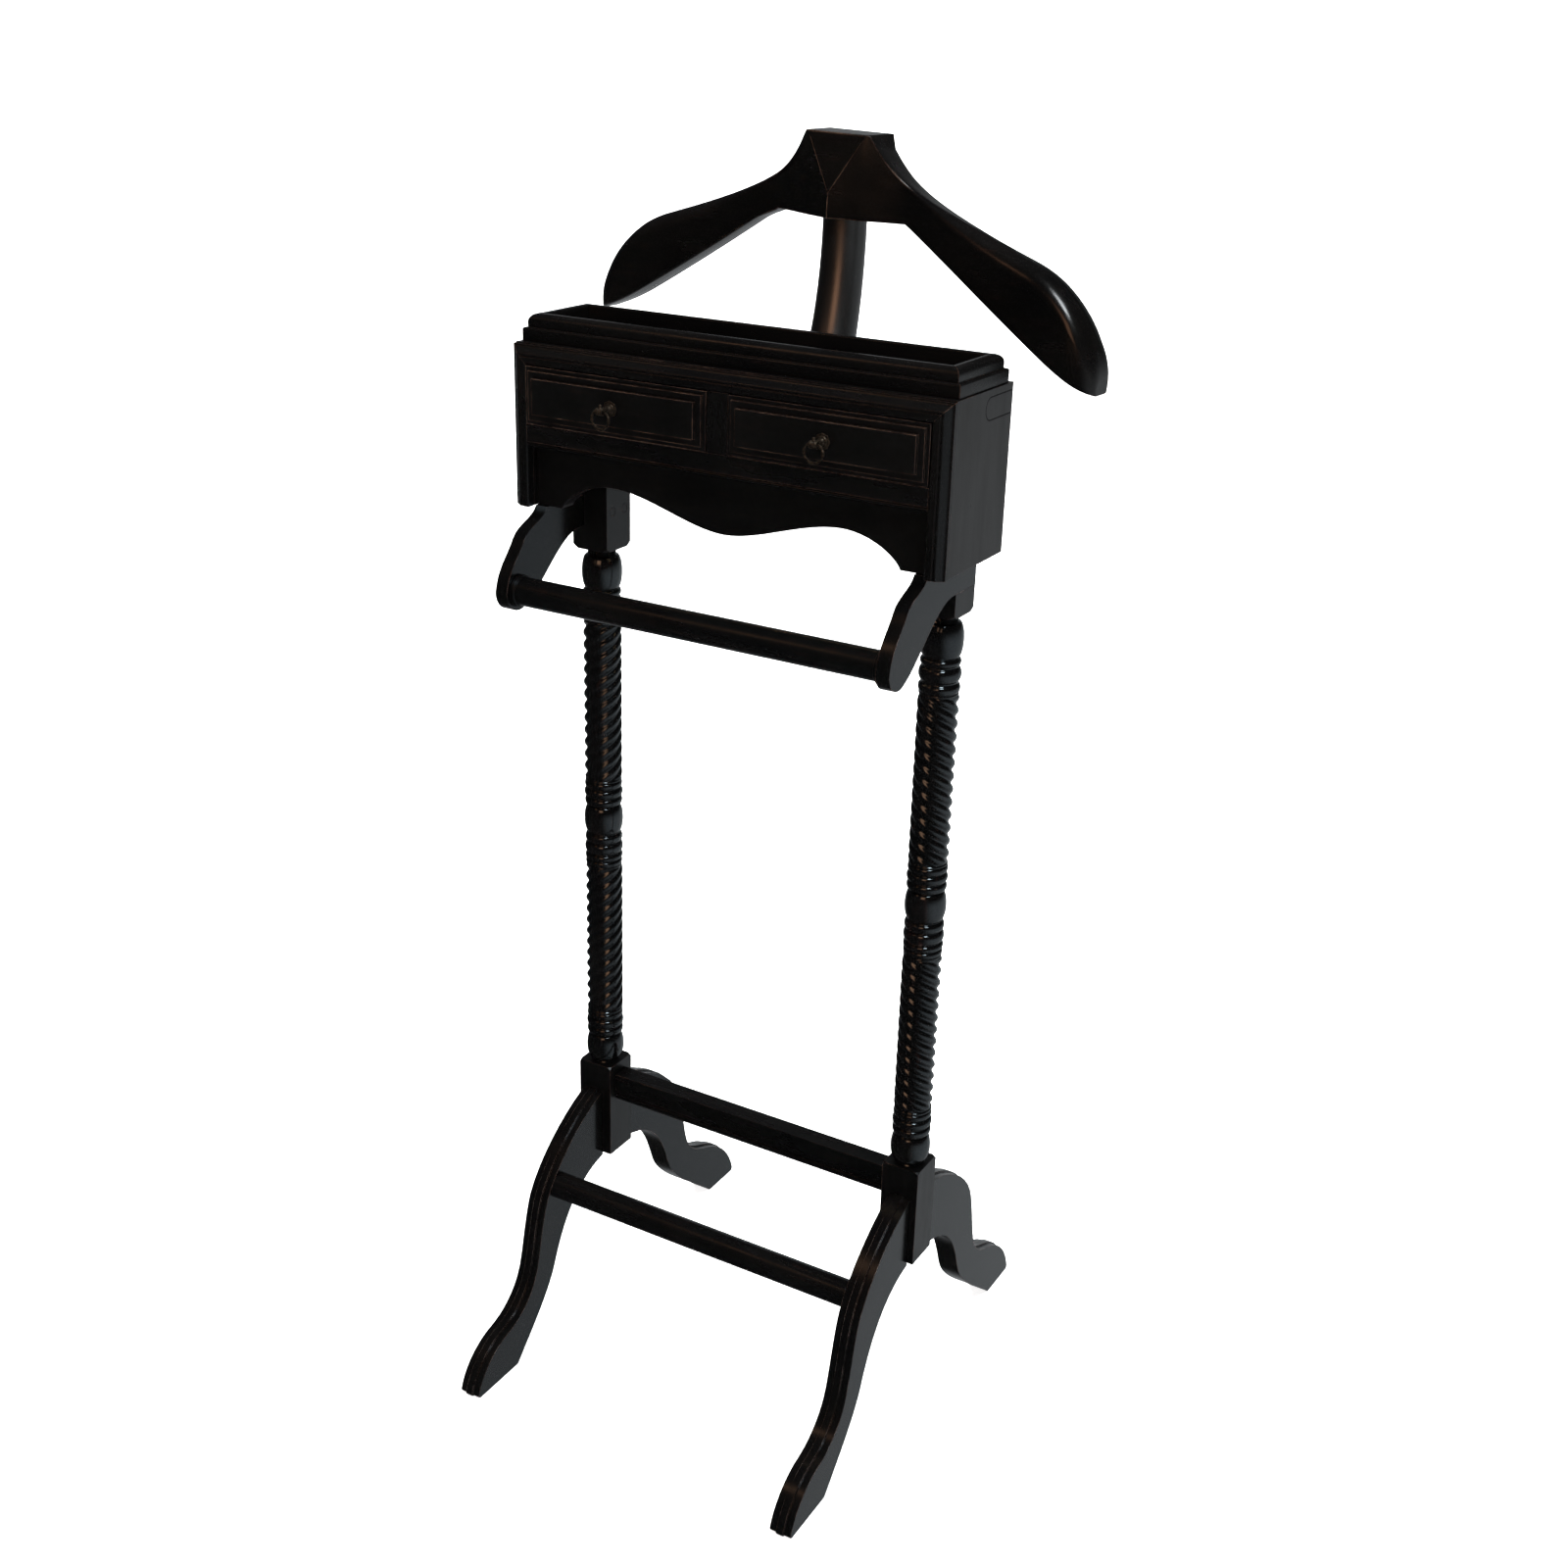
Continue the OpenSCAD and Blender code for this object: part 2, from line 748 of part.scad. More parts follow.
core_r = 14.2;
twist_r = 17.1;
twist_depth = 2.2;

// The turned profile from bottom to top, with the rope twists left at their core radius
function turning() = concat(
    [[0, foot_block_top - 6], [13.5, foot_block_top - 6], [13.5, 259.5]],
    swell(259.5, 286.5, 13.2, 17.8, 12),
    swell(287.5, 294.5, 15.4, 17.2, 6),
    swell(295.5, 304, 15, 17.6, 6),
    swell(305, 311, 15.4, 17, 6),
    [[16.6, 312], [16.6, twist_low[0]], [core_r, twist_low[0]], [core_r, twist_low[1]],
     [16.6, twist_low[1]], [16.6, 466]],
    swell(466.5, 471.5, 15.4, 17, 6),
    swell(472, 478, 15.2, 17.3, 6),
    swell(479, 489, 15, 17.6, 6),
    swell(490, 497.5, 15.4, 17.2, 6),
    swell(498.5, 526, 13.8, 17.9, 12),
    swell(527, 534, 15.2, 17.2, 6),
    swell(535, 543, 15, 17.6, 6),
    swell(544, 550.5, 15.4, 17.2, 6),
    [[16.6, 551], [16.6, twist_high[0]], [core_r, twist_high[0]], [core_r, twist_high[1]],
     [16.6, twist_high[1]], [16.6, 703.5]],
    swell(704, 711.5, 15.4, 17.4, 6),
    swell(714, 725.5, 15, 17.6, 6),
    swell(727.5, 733, 15, 16.9, 6),
    swell(733.5, 763.5, 13.8, 17.9, 14),
    [[12.5, 764], [12.5, top_block_z + 6], [0, top_block_z + 6]]
);

twist_low = [314, 465];
twist_high = [552.5, 702.5];
twist_lead = 58;

// Section of the rope twist: rounded strands with hollows of the same width between them
function rope_outline() = [
    for (k = [0 : 5 * twist_starts - 1])
    let (a = 72 * k / twist_starts, r = twist_r - twist_depth * (1 - cos(a * twist_starts)) / 2)
    r * [cos(a), sin(a)]
];

// A left-handed rope, as on the right-hand post
module rope(z) {
    l = z[1] - z[0];
    translate([0, 0, z[0]])
        linear_extrude(
            height = l, twist = 360 * l / twist_lead, slices = round(l / 6), $fn = 5 * twist_starts
        )
            polygon(rope_outline());
}

// A square block with its corners taken off at one end
module square_block(z0, z1) {
    w = block_w / 2;
    block([-w, -w, z0], [w, w, z1]);
}

// Takes the corners off the end of a block: a cone that the end has to lie inside
module corner_cone(z, up) {
    w = block_w / 2;
    h = 160;
    translate([0, 0, z]) mirror([0, 0, up ? 0 : 1]) translate([0, 0, -h])
        cylinder(h = h, r1 = w * 1.14 + h, r2 = w * 1.14);
}

module post() {
    w = block_w / 2;
    difference() {
        union() {
            intersection() {
                square_block(foot_block_z, foot_block_top);
                corner_cone(foot_block_top, true);
            }
            intersection() {
                square_block(top_block_z, block_top_z);
                corner_cone(top_block_z, false);
            }
            rotate_extrude($fn = 96) polygon(turning());
            rope(twist_low);
            rope(twist_high);
        }
        // Half-lap for the bracket
        block([bracket_x0 - post_x, -w - 1, bracket_bottom_z], [w + 1, w + 1, case_z]);
        for (y = bracket_screw_ys) {
            rod_x(-w - 1, w, y, bracket_screw_z, screw_r);
            rod_x(-w - 1, bracket_x0 - 12 - post_x, y, bracket_screw_z, 4);
        }
        for (z = case_screw_zs) {
            rod_x(-w - 1, w + 1, 0, z, screw_r);
            rod_x(-w - 1, 6, 0, z, 4);
        }
        // Mortise for the stretcher
        block([-w - 1, -6, stretcher_z + 4], [-w + 14, 6, stretcher_z + stretcher_h - 4]);
        // Dowel holes for the legs
        for (s = [-1, 1]) for (z = leg_dowel_zs)
            translate([leg_x - post_x, 0, 0])
                rod_y(0, s > 0 ? w - 10 : -w - 1, s > 0 ? w + 1 : -w + 10, z, dowel_r);
    }
}

leg_dowel_zs = [178, 206];

module post_right() {
    wood() translate([post_x, post_y, 0]) post();
}

module post_left() {
    wood() mirror([1, 0, 0]) translate([post_x, post_y, 0]) post();
}

module stretcher() {
    x = post_x - block_w / 2;
    z1 = stretcher_z + stretcher_h;
    t = stretcher_t / 2;
    wood() translate([0, post_y, 0]) {
        block([-x, -t, stretcher_z + 8], [x, t, z1]);
        block([-x, -t + 1.2, stretcher_z], [x, t - 1.2, stretcher_z + 8]);
        for (s = [-1, 1]) rod_x(-x, x, s * (t - 3), stretcher_z + 3.4, 3);
        block([-x - 13.5, -5.95, stretcher_z + 4.05], [x + 13.5, 5.95, z1 - 4.05]);
    }
}

module shoe_bar() {
    x = leg_x - leg_t / 2;
    wood() translate([0, post_y, 0]) {
        rod_x(-x, x, shoe_bar_y, shoe_bar_z, shoe_bar_d / 2);
        rod_x(-x - 8.5, x + 8.5, shoe_bar_y, shoe_bar_z, tenon_r);
    }
}

// ---------- legs, drawn on the right with the foot towards +Y ----------

leg_back = block_w / 2;

// Each leg's outer edge from the block to the toe, then its inner edge from the heel to the block
front_outer = [
    [[leg_back, 230], [44, 224], [94, 190], [110, 157]],
    [[110, 157], [120, 136], [124, 97], [132, 80]],
    [[132, 80], [140, 63], [156, 50], [175, 46]],
    [[175, 46], [194, 42], [216, 26], [222, 3]]
];
front_inner = [
    [[160.5, 0], [136, 26], [110, 52], [100, 76]],
    [[100, 76], [88, 108], [66, 150], [leg_back, 157]]
];
rear_outer = [
    [[leg_back, 226], [50, 222], [101, 197], [120, 160]],
    [[120, 160], [129, 137], [131, 106], [139, 88]],
    [[139, 88], [145, 74], [162, 66], [180, 59]],
    [[180, 59], [204, 50], [226, 30], [233, 3]]
];
rear_inner = [
    [[184, 0], [160, 22], [112, 52], [101, 80]],
    [[101, 80], [90, 108], [80, 150], [leg_back, 157]]
];

// Outline in (Y, Z), with the outer edge moved in by inset
function leg_outline(outer, inner, inset) =
    let (toe = outer[len(outer) - 1][3])
    concat(
        [for (c = outer) each bez(c, 9, inset)],
        [[toe[0] - inset, toe[1]], [toe[0] - inset - 1, 1], [toe[0] - inset - 3, 0]],
        [for (c = inner) each bez(c, 11)],
        [[leg_back, 157]]
    );

module leg(outer, inner, bar_hole) {
    t = leg_t / 2;
    bead = 3.6;
    quirk = 1.6;
    difference() {
        union() {
            along_x(leg_x - t, leg_x + t) polygon(leg_outline(outer, inner, quirk));
            along_x(leg_x - bead, leg_x + bead) polygon(leg_outline(outer, inner, 0));
        }
        for (z = leg_dowel_zs) rod_y(leg_x, leg_back - 1, leg_back + 16, z, dowel_r);
        if (bar_hole) rod_x(leg_x - t - 1, leg_x - t + 9, -shoe_bar_y, shoe_bar_z, tenon_r);
        block([leg_x - 20, leg_back - 5, 150], [leg_x + 20, leg_back, 240]);
    }
}

module rear_leg() {
    translate([0, post_y, 0]) leg(rear_outer, rear_inner, false);
}

module front_leg() {
    translate([0, post_y, 0]) mirror([0, 1, 0]) leg(front_outer, front_inner, true);
}

module leg_rear_right() {
    wood() rear_leg();
}

module leg_rear_left() {
    wood() mirror([1, 0, 0]) rear_leg();
}

module leg_front_right() {
    wood() front_leg();
}

module leg_front_left() {
    wood() mirror([1, 0, 0]) front_leg();
}

module leg_dowels() {
    inner_wood() both_sides() for (s = [-1, 1]) for (z = leg_dowel_zs)
        translate([leg_x, post_y + s * leg_back, 0])
            rod_y(0, s > 0 ? -9.5 : -15.5, s > 0 ? 15.5 : 9.5, z, dowel_r - 0.05);
}

module right_drawer(part) {
    if (part == "front") wood() drawer_front();
    if (part == "side_outer") inner_wood() drawer_side_outer();
    if (part == "side_inner") inner_wood() drawer_side_inner();
    if (part == "back") inner_wood() drawer_back();
    if (part == "bottom") inner_wood() drawer_bottom();
    if (part == "plate") metal() pull_plate();
    if (part == "post") metal() pull_post();
    if (part == "ring") metal() pull_ring();
    if (part == "nut") metal() pull_nut();
}

module left_drawer(part) {
    mirror([1, 0, 0]) right_drawer(part);
}

hanger_left();
hanger_right();
hanger_dowels();
neck_post();
neck_cleat();
neck_bolts();
case_side_left();
case_side_right();
case_back();
dust_panel();
case_top();
rim_front();
rim_back();
rim_left();
rim_right();
stile_left();
stile_right();
top_rail();
drawer_rail();
drawer_divider();
apron();
drawer_partition();
drawer_stops();
case_screws();
left_drawer("front");  // drawer_left_front
left_drawer("side_outer");  // drawer_left_side_outer
left_drawer("side_inner");  // drawer_left_side_inner
left_drawer("back");  // drawer_left_back
left_drawer("bottom");  // drawer_left_bottom
right_drawer("front");  // drawer_right_front
right_drawer("side_outer");  // drawer_right_side_outer
right_drawer("side_inner");  // drawer_right_side_inner
right_drawer("back");  // drawer_right_back
right_drawer("bottom");  // drawer_right_bottom
left_drawer("plate");  // pull_left_plate
left_drawer("post");  // pull_left_post
left_drawer("ring");  // pull_left_ring
left_drawer("nut");  // pull_left_nut
right_drawer("plate");  // pull_right_plate
right_drawer("post");  // pull_right_post
right_drawer("ring");  // pull_right_ring
right_drawer("nut");  // pull_right_nut
bracket_left();
bracket_right();
trouser_bar();
bracket_screws();
post_left();
post_right();
stretcher();
shoe_bar();
leg_front_left();
leg_front_right();
leg_rear_left();
leg_rear_right();
leg_dowels();
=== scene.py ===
"""Looks of the valet stand: rubbed black paint over reddish wood, dark brass drop pulls."""

from math import cos, exp, pi, radians, sin, sqrt

import bmesh
import bpy
from mathutils import Matrix, Vector


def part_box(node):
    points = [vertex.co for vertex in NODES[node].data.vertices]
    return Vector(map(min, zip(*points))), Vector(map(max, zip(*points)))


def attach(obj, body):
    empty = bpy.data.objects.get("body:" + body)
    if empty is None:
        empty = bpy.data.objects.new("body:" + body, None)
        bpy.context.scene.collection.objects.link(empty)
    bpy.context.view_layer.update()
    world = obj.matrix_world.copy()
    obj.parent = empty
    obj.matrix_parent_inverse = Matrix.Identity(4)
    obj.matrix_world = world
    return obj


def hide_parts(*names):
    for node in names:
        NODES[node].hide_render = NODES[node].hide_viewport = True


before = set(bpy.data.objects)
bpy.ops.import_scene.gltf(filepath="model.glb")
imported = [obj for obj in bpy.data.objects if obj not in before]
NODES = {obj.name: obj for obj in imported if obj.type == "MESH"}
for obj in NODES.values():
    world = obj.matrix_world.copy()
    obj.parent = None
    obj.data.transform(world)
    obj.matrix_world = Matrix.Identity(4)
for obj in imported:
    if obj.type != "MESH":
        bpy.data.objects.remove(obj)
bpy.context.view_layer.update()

MM = 0.001
POST_X, POST_Y = 166.1, -5.5  # the posts' axes, in millimetres


# ---------- material helpers ----------

RAY_SAMPLES = 6  # of the bevel and occlusion nodes


class Tree:
    """Short names for the nodes that the materials are built from."""

    def __init__(self, name):
        self.mat = bpy.data.materials.new(name)
        self.mat.use_nodes = True
        self.nodes = self.mat.node_tree.nodes
        self.links = self.mat.node_tree.links
        self.shader = self.nodes["Principled BSDF"]
        self.coord = self.nodes.new("ShaderNodeTexCoord").outputs["Object"]
        self.normal = self.nodes.new("ShaderNodeNewGeometry").outputs["Normal"]

    def put(self, socket, value):
        if isinstance(value, bpy.types.NodeSocket):
            self.links.new(value, socket)
        else:
            socket.default_value = value

    def math(self, op, a, b=0.0, clamp=False):
        n = self.nodes.new("ShaderNodeMath")
        n.operation, n.use_clamp = op, clamp
        self.put(n.inputs[0], a)
        self.put(n.inputs[1], b)
        return n.outputs[0]

    def stretch(self, scale, offset=(0, 0, 0)):
        n = self.nodes.new("ShaderNodeMapping")
        self.put(n.inputs["Vector"], self.coord)
        n.inputs["Scale"].default_value = scale
        n.inputs["Location"].default_value = offset
        return n.outputs[0]

    def noise(self, vector, scale, detail=4.0, rough=0.55, distortion=0.0):
        n = self.nodes.new("ShaderNodeTexNoise")
        self.put(n.inputs["Vector"], vector)
        n.inputs["Scale"].default_value = scale
        n.inputs["Detail"].default_value = detail
        n.inputs["Roughness"].default_value = rough
        n.inputs["Distortion"].default_value = distortion
        return n.outputs["Fac"]

    def step(self, value, low, high, to_low=0.0, to_high=1.0):
        n = self.nodes.new("ShaderNodeMapRange")
        n.interpolation_type = "SMOOTHSTEP"
        for socket, v in zip(n.inputs, (value, low, high, to_low, to_high)):
            self.put(socket, v)
        return n.outputs[0]

    def mix(self, fac, a, b):
        n = self.nodes.new("ShaderNodeMix")
        n.data_type = "RGBA"
        self.put(n.inputs["Factor"], fac)
        # 6 and 7 are the two colour inputs
        self.put(n.inputs[6], a if isinstance(a, bpy.types.NodeSocket) else (*a, 1))
        self.put(n.inputs[7], b if isinstance(b, bpy.types.NodeSocket) else (*b, 1))
        return n.outputs[2]

    def vector(self, op, a, b):
        n = self.nodes.new("ShaderNodeVectorMath")
        n.operation = op
        self.put(n.inputs[0], a)
        self.put(n.inputs[1], b)
        return n.outputs["Value" if op == "DOT_PRODUCT" else "Vector"]

    def edges(self, radius):
        """1 - cosine of the angle between the surface and its rounded-off version: high at edges."""
        n = self.nodes.new("ShaderNodeBevel")
        n.samples = RAY_SAMPLES
        n.inputs["Radius"].default_value = radius
        likeness = self.vector("DOT_PRODUCT", n.outputs[0], self.normal)
        return self.math("SUBTRACT", 1.0, likeness, clamp=True)

    def openness(self, distance):
        n = self.nodes.new("ShaderNodeAmbientOcclusion")
        n.samples = RAY_SAMPLES
        n.inputs["Distance"].default_value = distance
        return n.outputs["AO"]

    def bump(self, height, strength, distance):
        n = self.nodes.new("ShaderNodeBump")
        n.inputs["Strength"].default_value = strength
        n.inputs["Distance"].default_value = distance
        self.put(n.inputs["Height"], height)
        self.put(self.shader.inputs["Normal"], n.outputs[0])


def along(axis, length_scale, cross_scale):
    """A mapping scale that stretches a texture along one axis."""
    return tuple(length_scale if i == axis else cross_scale for i in range(3))


BLACK, FADED_BLACK = (0.0016, 0.0016, 0.0017), (0.0028, 0.0026, 0.0025)
BLACK_FIBRE, GROOVE_BLACK = (0.0050, 0.0040, 0.0035), (0.0006, 0.0006, 0.0006)
RED_UNDERCOAT, WORN_BROWN = (0.036, 0.012, 0.008), (0.065, 0.027, 0.016)

# The groove scribed round a repair high up on a side panel, in metres: the y and z of the middle of
# its round end, the radius of that end, and half the line's width where it fades out and is full
GROOVE_MIDDLE, GROOVE_R, GROOVE_FADE, GROOVE_FULL = (0.0, -0.0175, 0.939), 0.0088, 0.0008, 0.0003


def paint(name, grain=2, wear=1.0, rub=0.25, gloss=0.27, grit=0.2, spread=0.12, line=0.0010,
          crease=(0.012, 0.12), bare_and_sheen=(0.30, 0.19, 0.12), ior=1.48, tint=(1.0, 1.0, 1.0),
          patch_groove=False):
    """Satin black paint over reddish wood.

    grain is the axis the wood runs along, wear the amount rubbed off edges, rub the share of
    reddish brown on the surfaces, gloss the least roughness and spread what is added to it in
    places, grit the depth of the grain, line the width of a worn edge in metres, crease how sharp
    an edge must be to start and to finish wearing, bare_and_sheen the colour where an edge is worn
    through, which is wood for most paints and for the legs a pale grey that is partly wear and
    partly painted sheen along the edges, tint the colour of the sheen, and patch_groove adds the
    groove of the repair."""
    t = Tree(name)
    fibre = t.noise(t.stretch(along(grain, 6, 120)), 1.0, 5, 0.6, 0.3)
    cloud = t.noise(t.coord, 14.0, 3)
    fleck = t.noise(t.coord, 900.0, 2, 0.7)
    patch = t.noise(t.coord, 38.0, 4, 0.6, 0.4)
    streak = t.noise(t.stretch(along(grain, 25, 260), (3, 5, 7)), 1.0, 3, 0.6)
    edge = t.edges(line)
    open_ = t.step(t.openness(0.006), 0.55, 0.85)

    broken = t.math("ADD", t.math("MULTIPLY", patch, 0.8), t.math("MULTIPLY", fleck, 0.2))
    worn = t.math("MULTIPLY", t.step(edge, *crease), open_)
    more = 0.16 * wear
    amount = t.math("MULTIPLY", worn, t.step(broken, 0.56 - more, 0.80 - more))
    # Where an edge is worn through: wood colour, and with the legs' pale grey a painted sheen along the
    # edges as well as wear
    through = t.math("MULTIPLY", t.step(worn, 0.5, 1.0), t.step(broken, 0.66 - more, 0.86 - more))

    black = t.mix(t.step(cloud, 0.3, 0.7), BLACK, FADED_BLACK)
    black = t.mix(t.math("MULTIPLY", t.step(fibre, 0.5, 0.75), 0.4), black, BLACK_FIBRE)
    reddish = t.math("MULTIPLY", t.step(streak, 0.52, 0.78), t.step(patch, 0.45, 0.7))
    colour = t.mix(t.math("MULTIPLY", reddish, rub), black, RED_UNDERCOAT)
    colour = t.mix(t.math("MULTIPLY", amount, 0.9), colour, WORN_BROWN)
    # Worn-through edges take the given colour; the legs' pale grey here is painted sheen on top of real
    # wear
    colour = t.mix(t.math("MULTIPLY", through, 0.5), colour, bare_and_sheen)

    smear = t.noise(t.stretch(along(grain, 10, 45), (9, 2, 4)), 1.0, 4, 0.6)
    rough = t.step(smear, 0.25, 0.8, gloss, gloss + spread)
    rough = t.math("ADD", rough, t.math("MULTIPLY", amount, 0.25), clamp=True)
    height = t.math("MULTIPLY", fibre, 0.6)
    height = t.math("ADD", height, t.math("MULTIPLY", t.noise(t.coord, 160.0, 3), 0.25))
    height = t.math("SUBTRACT", height, t.math("MULTIPLY", amount, 0.4))
    if patch_groove:
        away = t.nodes.new("ShaderNodeSeparateXYZ")
        t.put(away.inputs[0], t.vector("SUBTRACT", t.coord, GROOVE_MIDDLE))
        ahead = t.math("ABSOLUTE", t.math("MINIMUM", away.outputs["Y"], 0.0))
        above = t.math("ABSOLUTE", away.outputs["Z"])
        squares = t.math("ADD", t.math("POWER", ahead, 2.0), t.math("POWER", above, 2.0))
        miss = t.math("ABSOLUTE", t.math("SUBTRACT", t.math("SQRT", squares), GROOVE_R))
        groove = t.step(miss, GROOVE_FADE, GROOVE_FULL)
        colour = t.mix(t.math("MULTIPLY", groove, 0.9), colour, GROOVE_BLACK)
        height = t.math("SUBTRACT", height, t.math("MULTIPLY", groove, 3.0))
        rough = t.math("ADD", rough, t.math("MULTIPLY", groove, 0.4), clamp=True)
    t.put(t.shader.inputs["Base Color"], colour)
    t.put(t.shader.inputs["Roughness"], rough)
    t.shader.inputs["IOR"].default_value = ior
    t.shader.inputs["Specular Tint"].default_value = (*tint, 1)
    t.bump(height, grit, 0.0006)
    return t.mat


def bare_wood(name, grain):
    """Unpainted planed softwood, as inside the drawers."""
    t = Tree(name)
    ring = t.noise(t.stretch(along(grain, 3, 60)), 1.0, 6, 0.62, 1.2)
    pore = t.noise(t.stretch(along(grain, 30, 700)), 1.0, 3, 0.7)
    colour = t.mix(t.step(ring, 0.35, 0.68), (0.52, 0.36, 0.21), (0.34, 0.20, 0.10))
    colour = t.mix(t.math("MULTIPLY", t.step(pore, 0.55, 0.75), 0.5), colour, (0.20, 0.11, 0.055))
    t.put(t.shader.inputs["Base Color"], colour)
    t.put(t.shader.inputs["Roughness"], t.step(ring, 0.2, 0.8, 0.52, 0.7))
    t.bump(t.math("ADD", ring, t.math("MULTIPLY", pore, 0.6)), 0.3, 0.0005)
    return t.mat


def brass(name):
    """Dark antique brass: nearly black in the hollows, burnished on the high points."""
    t = Tree(name)
    patina = t.noise(t.coord, 420.0, 4, 0.6)
    edge = t.step(t.edges(0.0006), 0.01, 0.14)
    open_ = t.step(t.openness(0.003), 0.35, 0.9)
    high = t.math("MULTIPLY", t.math("ADD", t.math("MULTIPLY", edge, 0.6), 0.3), open_)
    high = t.math("MULTIPLY", high, t.step(patina, 0.3, 0.6))
    colour = t.mix(high, (0.016, 0.014, 0.012), (0.17, 0.13, 0.088))
    t.put(t.shader.inputs["Base Color"], colour)
    t.shader.inputs["Metallic"].default_value = 0.85
    t.put(t.shader.inputs["Roughness"], t.step(patina, 0.2, 0.8, 0.55, 0.34))
    t.bump(patina, 0.3, 0.0003)
    return t.mat


def steel(name):
    t = Tree(name)
    turn = t.noise(t.stretch((500, 60, 60)), 1.0, 3)
    t.put(t.shader.inputs["Base Color"], t.mix(turn, (0.30, 0.29, 0.27), (0.42, 0.41, 0.39)))
    t.shader.inputs["Metallic"].default_value = 1.0
    t.put(t.shader.inputs["Roughness"], t.step(turn, 0.2, 0.8, 0.3, 0.45))
    t.bump(turn, 0.2, 0.0003)
    return t.mat


COOL, COLD = (0.90, 0.97, 1.0), (0.80, 0.93, 1.0)
MOULDING = dict(
    wear=1.7, rub=0.1, gloss=0.22, grit=0.05, bare_and_sheen=(0.13, 0.075, 0.045), tint=COOL, line=0.0006,
)
MATS = {
    "paint_x": paint("black_paint_grain_x", grain=0, rub=0.2, grit=0.12, tint=COOL),
    "paint_z": paint("black_paint_grain_z", wear=0.85, rub=0.2, grit=0.12, tint=COOL),
    "panel": paint("black_paint_panel", wear=0.85, rub=0.12, grit=0.12, patch_groove=True),
    "moulding_x": paint("black_paint_moulding_x", grain=0, **MOULDING),
    "moulding_y": paint("black_paint_moulding_y", grain=1, **MOULDING),
    "moulding_z": paint("black_paint_moulding_z", grain=2, **MOULDING),
    "drawer": paint("black_paint_drawer", grain=0, wear=1.5, rub=0.2, gloss=0.3, grit=0.12, tint=COOL),
    "turned": paint("black_paint_turned", wear=0.7, rub=0.3, gloss=0.10, spread=0.05, grit=0.02,
                    ior=1.75, tint=COLD),
    # The legs' pale grey worn-edge colour is partly wear and partly a painted sheen along the band's
    # edges
    "leg": paint("black_paint_leg", grain=1, wear=1.3, rub=0.08, gloss=0.18, spread=0.04, grit=0.012,
                 bare_and_sheen=(0.30, 0.27, 0.25), tint=COLD),
    "bar": paint("black_paint_bar", grain=0, wear=0.8, rub=0.15, gloss=0.22, grit=0.04, ior=1.38,
                 tint=COLD),
    "hanger": paint("black_paint_hanger", grain=0, wear=1.5, rub=0.15, gloss=0.18, grit=0.03,
                    crease=(0.003, 0.009)),
    "neck": paint("black_paint_neck", wear=0.6, rub=0.2, gloss=0.32, spread=0.06, grit=0.02, ior=2.2),
    "bare_x": bare_wood("bare_wood_x", 0),
    "bare_y": bare_wood("bare_wood_y", 1),
    "brass": brass("antique_brass_metal"),
    "steel": steel("screw_steel"),
}


# ---------- piece helpers ----------

# The angle above which an edge is shaded sharp, and the one above which it is rounded over
SHARP, EASED_FROM = radians(40), radians(30)
WELD, FLAT = 2e-6, radians(0.4)


def turns(n):
    """n angles, once round."""
    return [2 * pi * k / n for k in range(n)]


def place(rings, x, y, z):
    """Rings in millimetres moved to x, y and z, in metres."""
    return [[((px + x) * MM, (py + y) * MM, (pz + z) * MM) for px, py, pz in ring] for ring in rings]


def add_object(name, data):
    o = bpy.data.objects.new(name, data)
    bpy.context.scene.collection.objects.link(o)
    return o


def mesh_from(bm, name):
    mesh = bpy.data.meshes.new(name)
    bm.to_mesh(mesh)
    bm.free()
    return mesh


def piece(name, mesh, mat, body, slot, *nodes):
    """A finished object that rides on a body and stands for the named CAD nodes."""
    o = add_object(name, mesh)
    mesh.materials.clear()
    mesh.materials.append(mat)
    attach(o, body)
    if nodes:
        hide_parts(*nodes)
    return o


def clean_copy(node):
    """The CAD node's mesh as a bmesh with flat faces whole again."""
    bm = bmesh.new()
    bm.from_mesh(NODES[node].data)
    bmesh.ops.remove_doubles(bm, verts=bm.verts, dist=WELD)
    bmesh.ops.dissolve_limit(
        bm, angle_limit=FLAT, verts=bm.verts, edges=bm.edges, use_dissolve_boundaries=False
    )
    return bm


def shaded_mesh(bm, name):
    """The mesh, smooth except at edges sharper than SHARP."""
    for f in bm.faces:
        f.smooth = True
    for e in bm.edges:
        if len(e.link_faces) == 2 and e.calc_face_angle(0) > SHARP:
            e.smooth = False
    return mesh_from(bm, name)


def eased(node, width, mat, body, slot="black_paint", bm=None):
    """The CAD node, or the given part of it, with its edges rounded over by hand."""
    mesh = shaded_mesh(bm or clean_copy(node), node + "_mesh")
    o = piece("eased_" + node, mesh, mat, body, slot, node)
    m = o.modifiers.new("edges", "BEVEL")
    m.width = width * MM
    m.segments = 2
    m.limit_method = "ANGLE"
    m.angle_limit = EASED_FROM
    m.use_clamp_overlap = True
    m.harden_normals = True
    return o


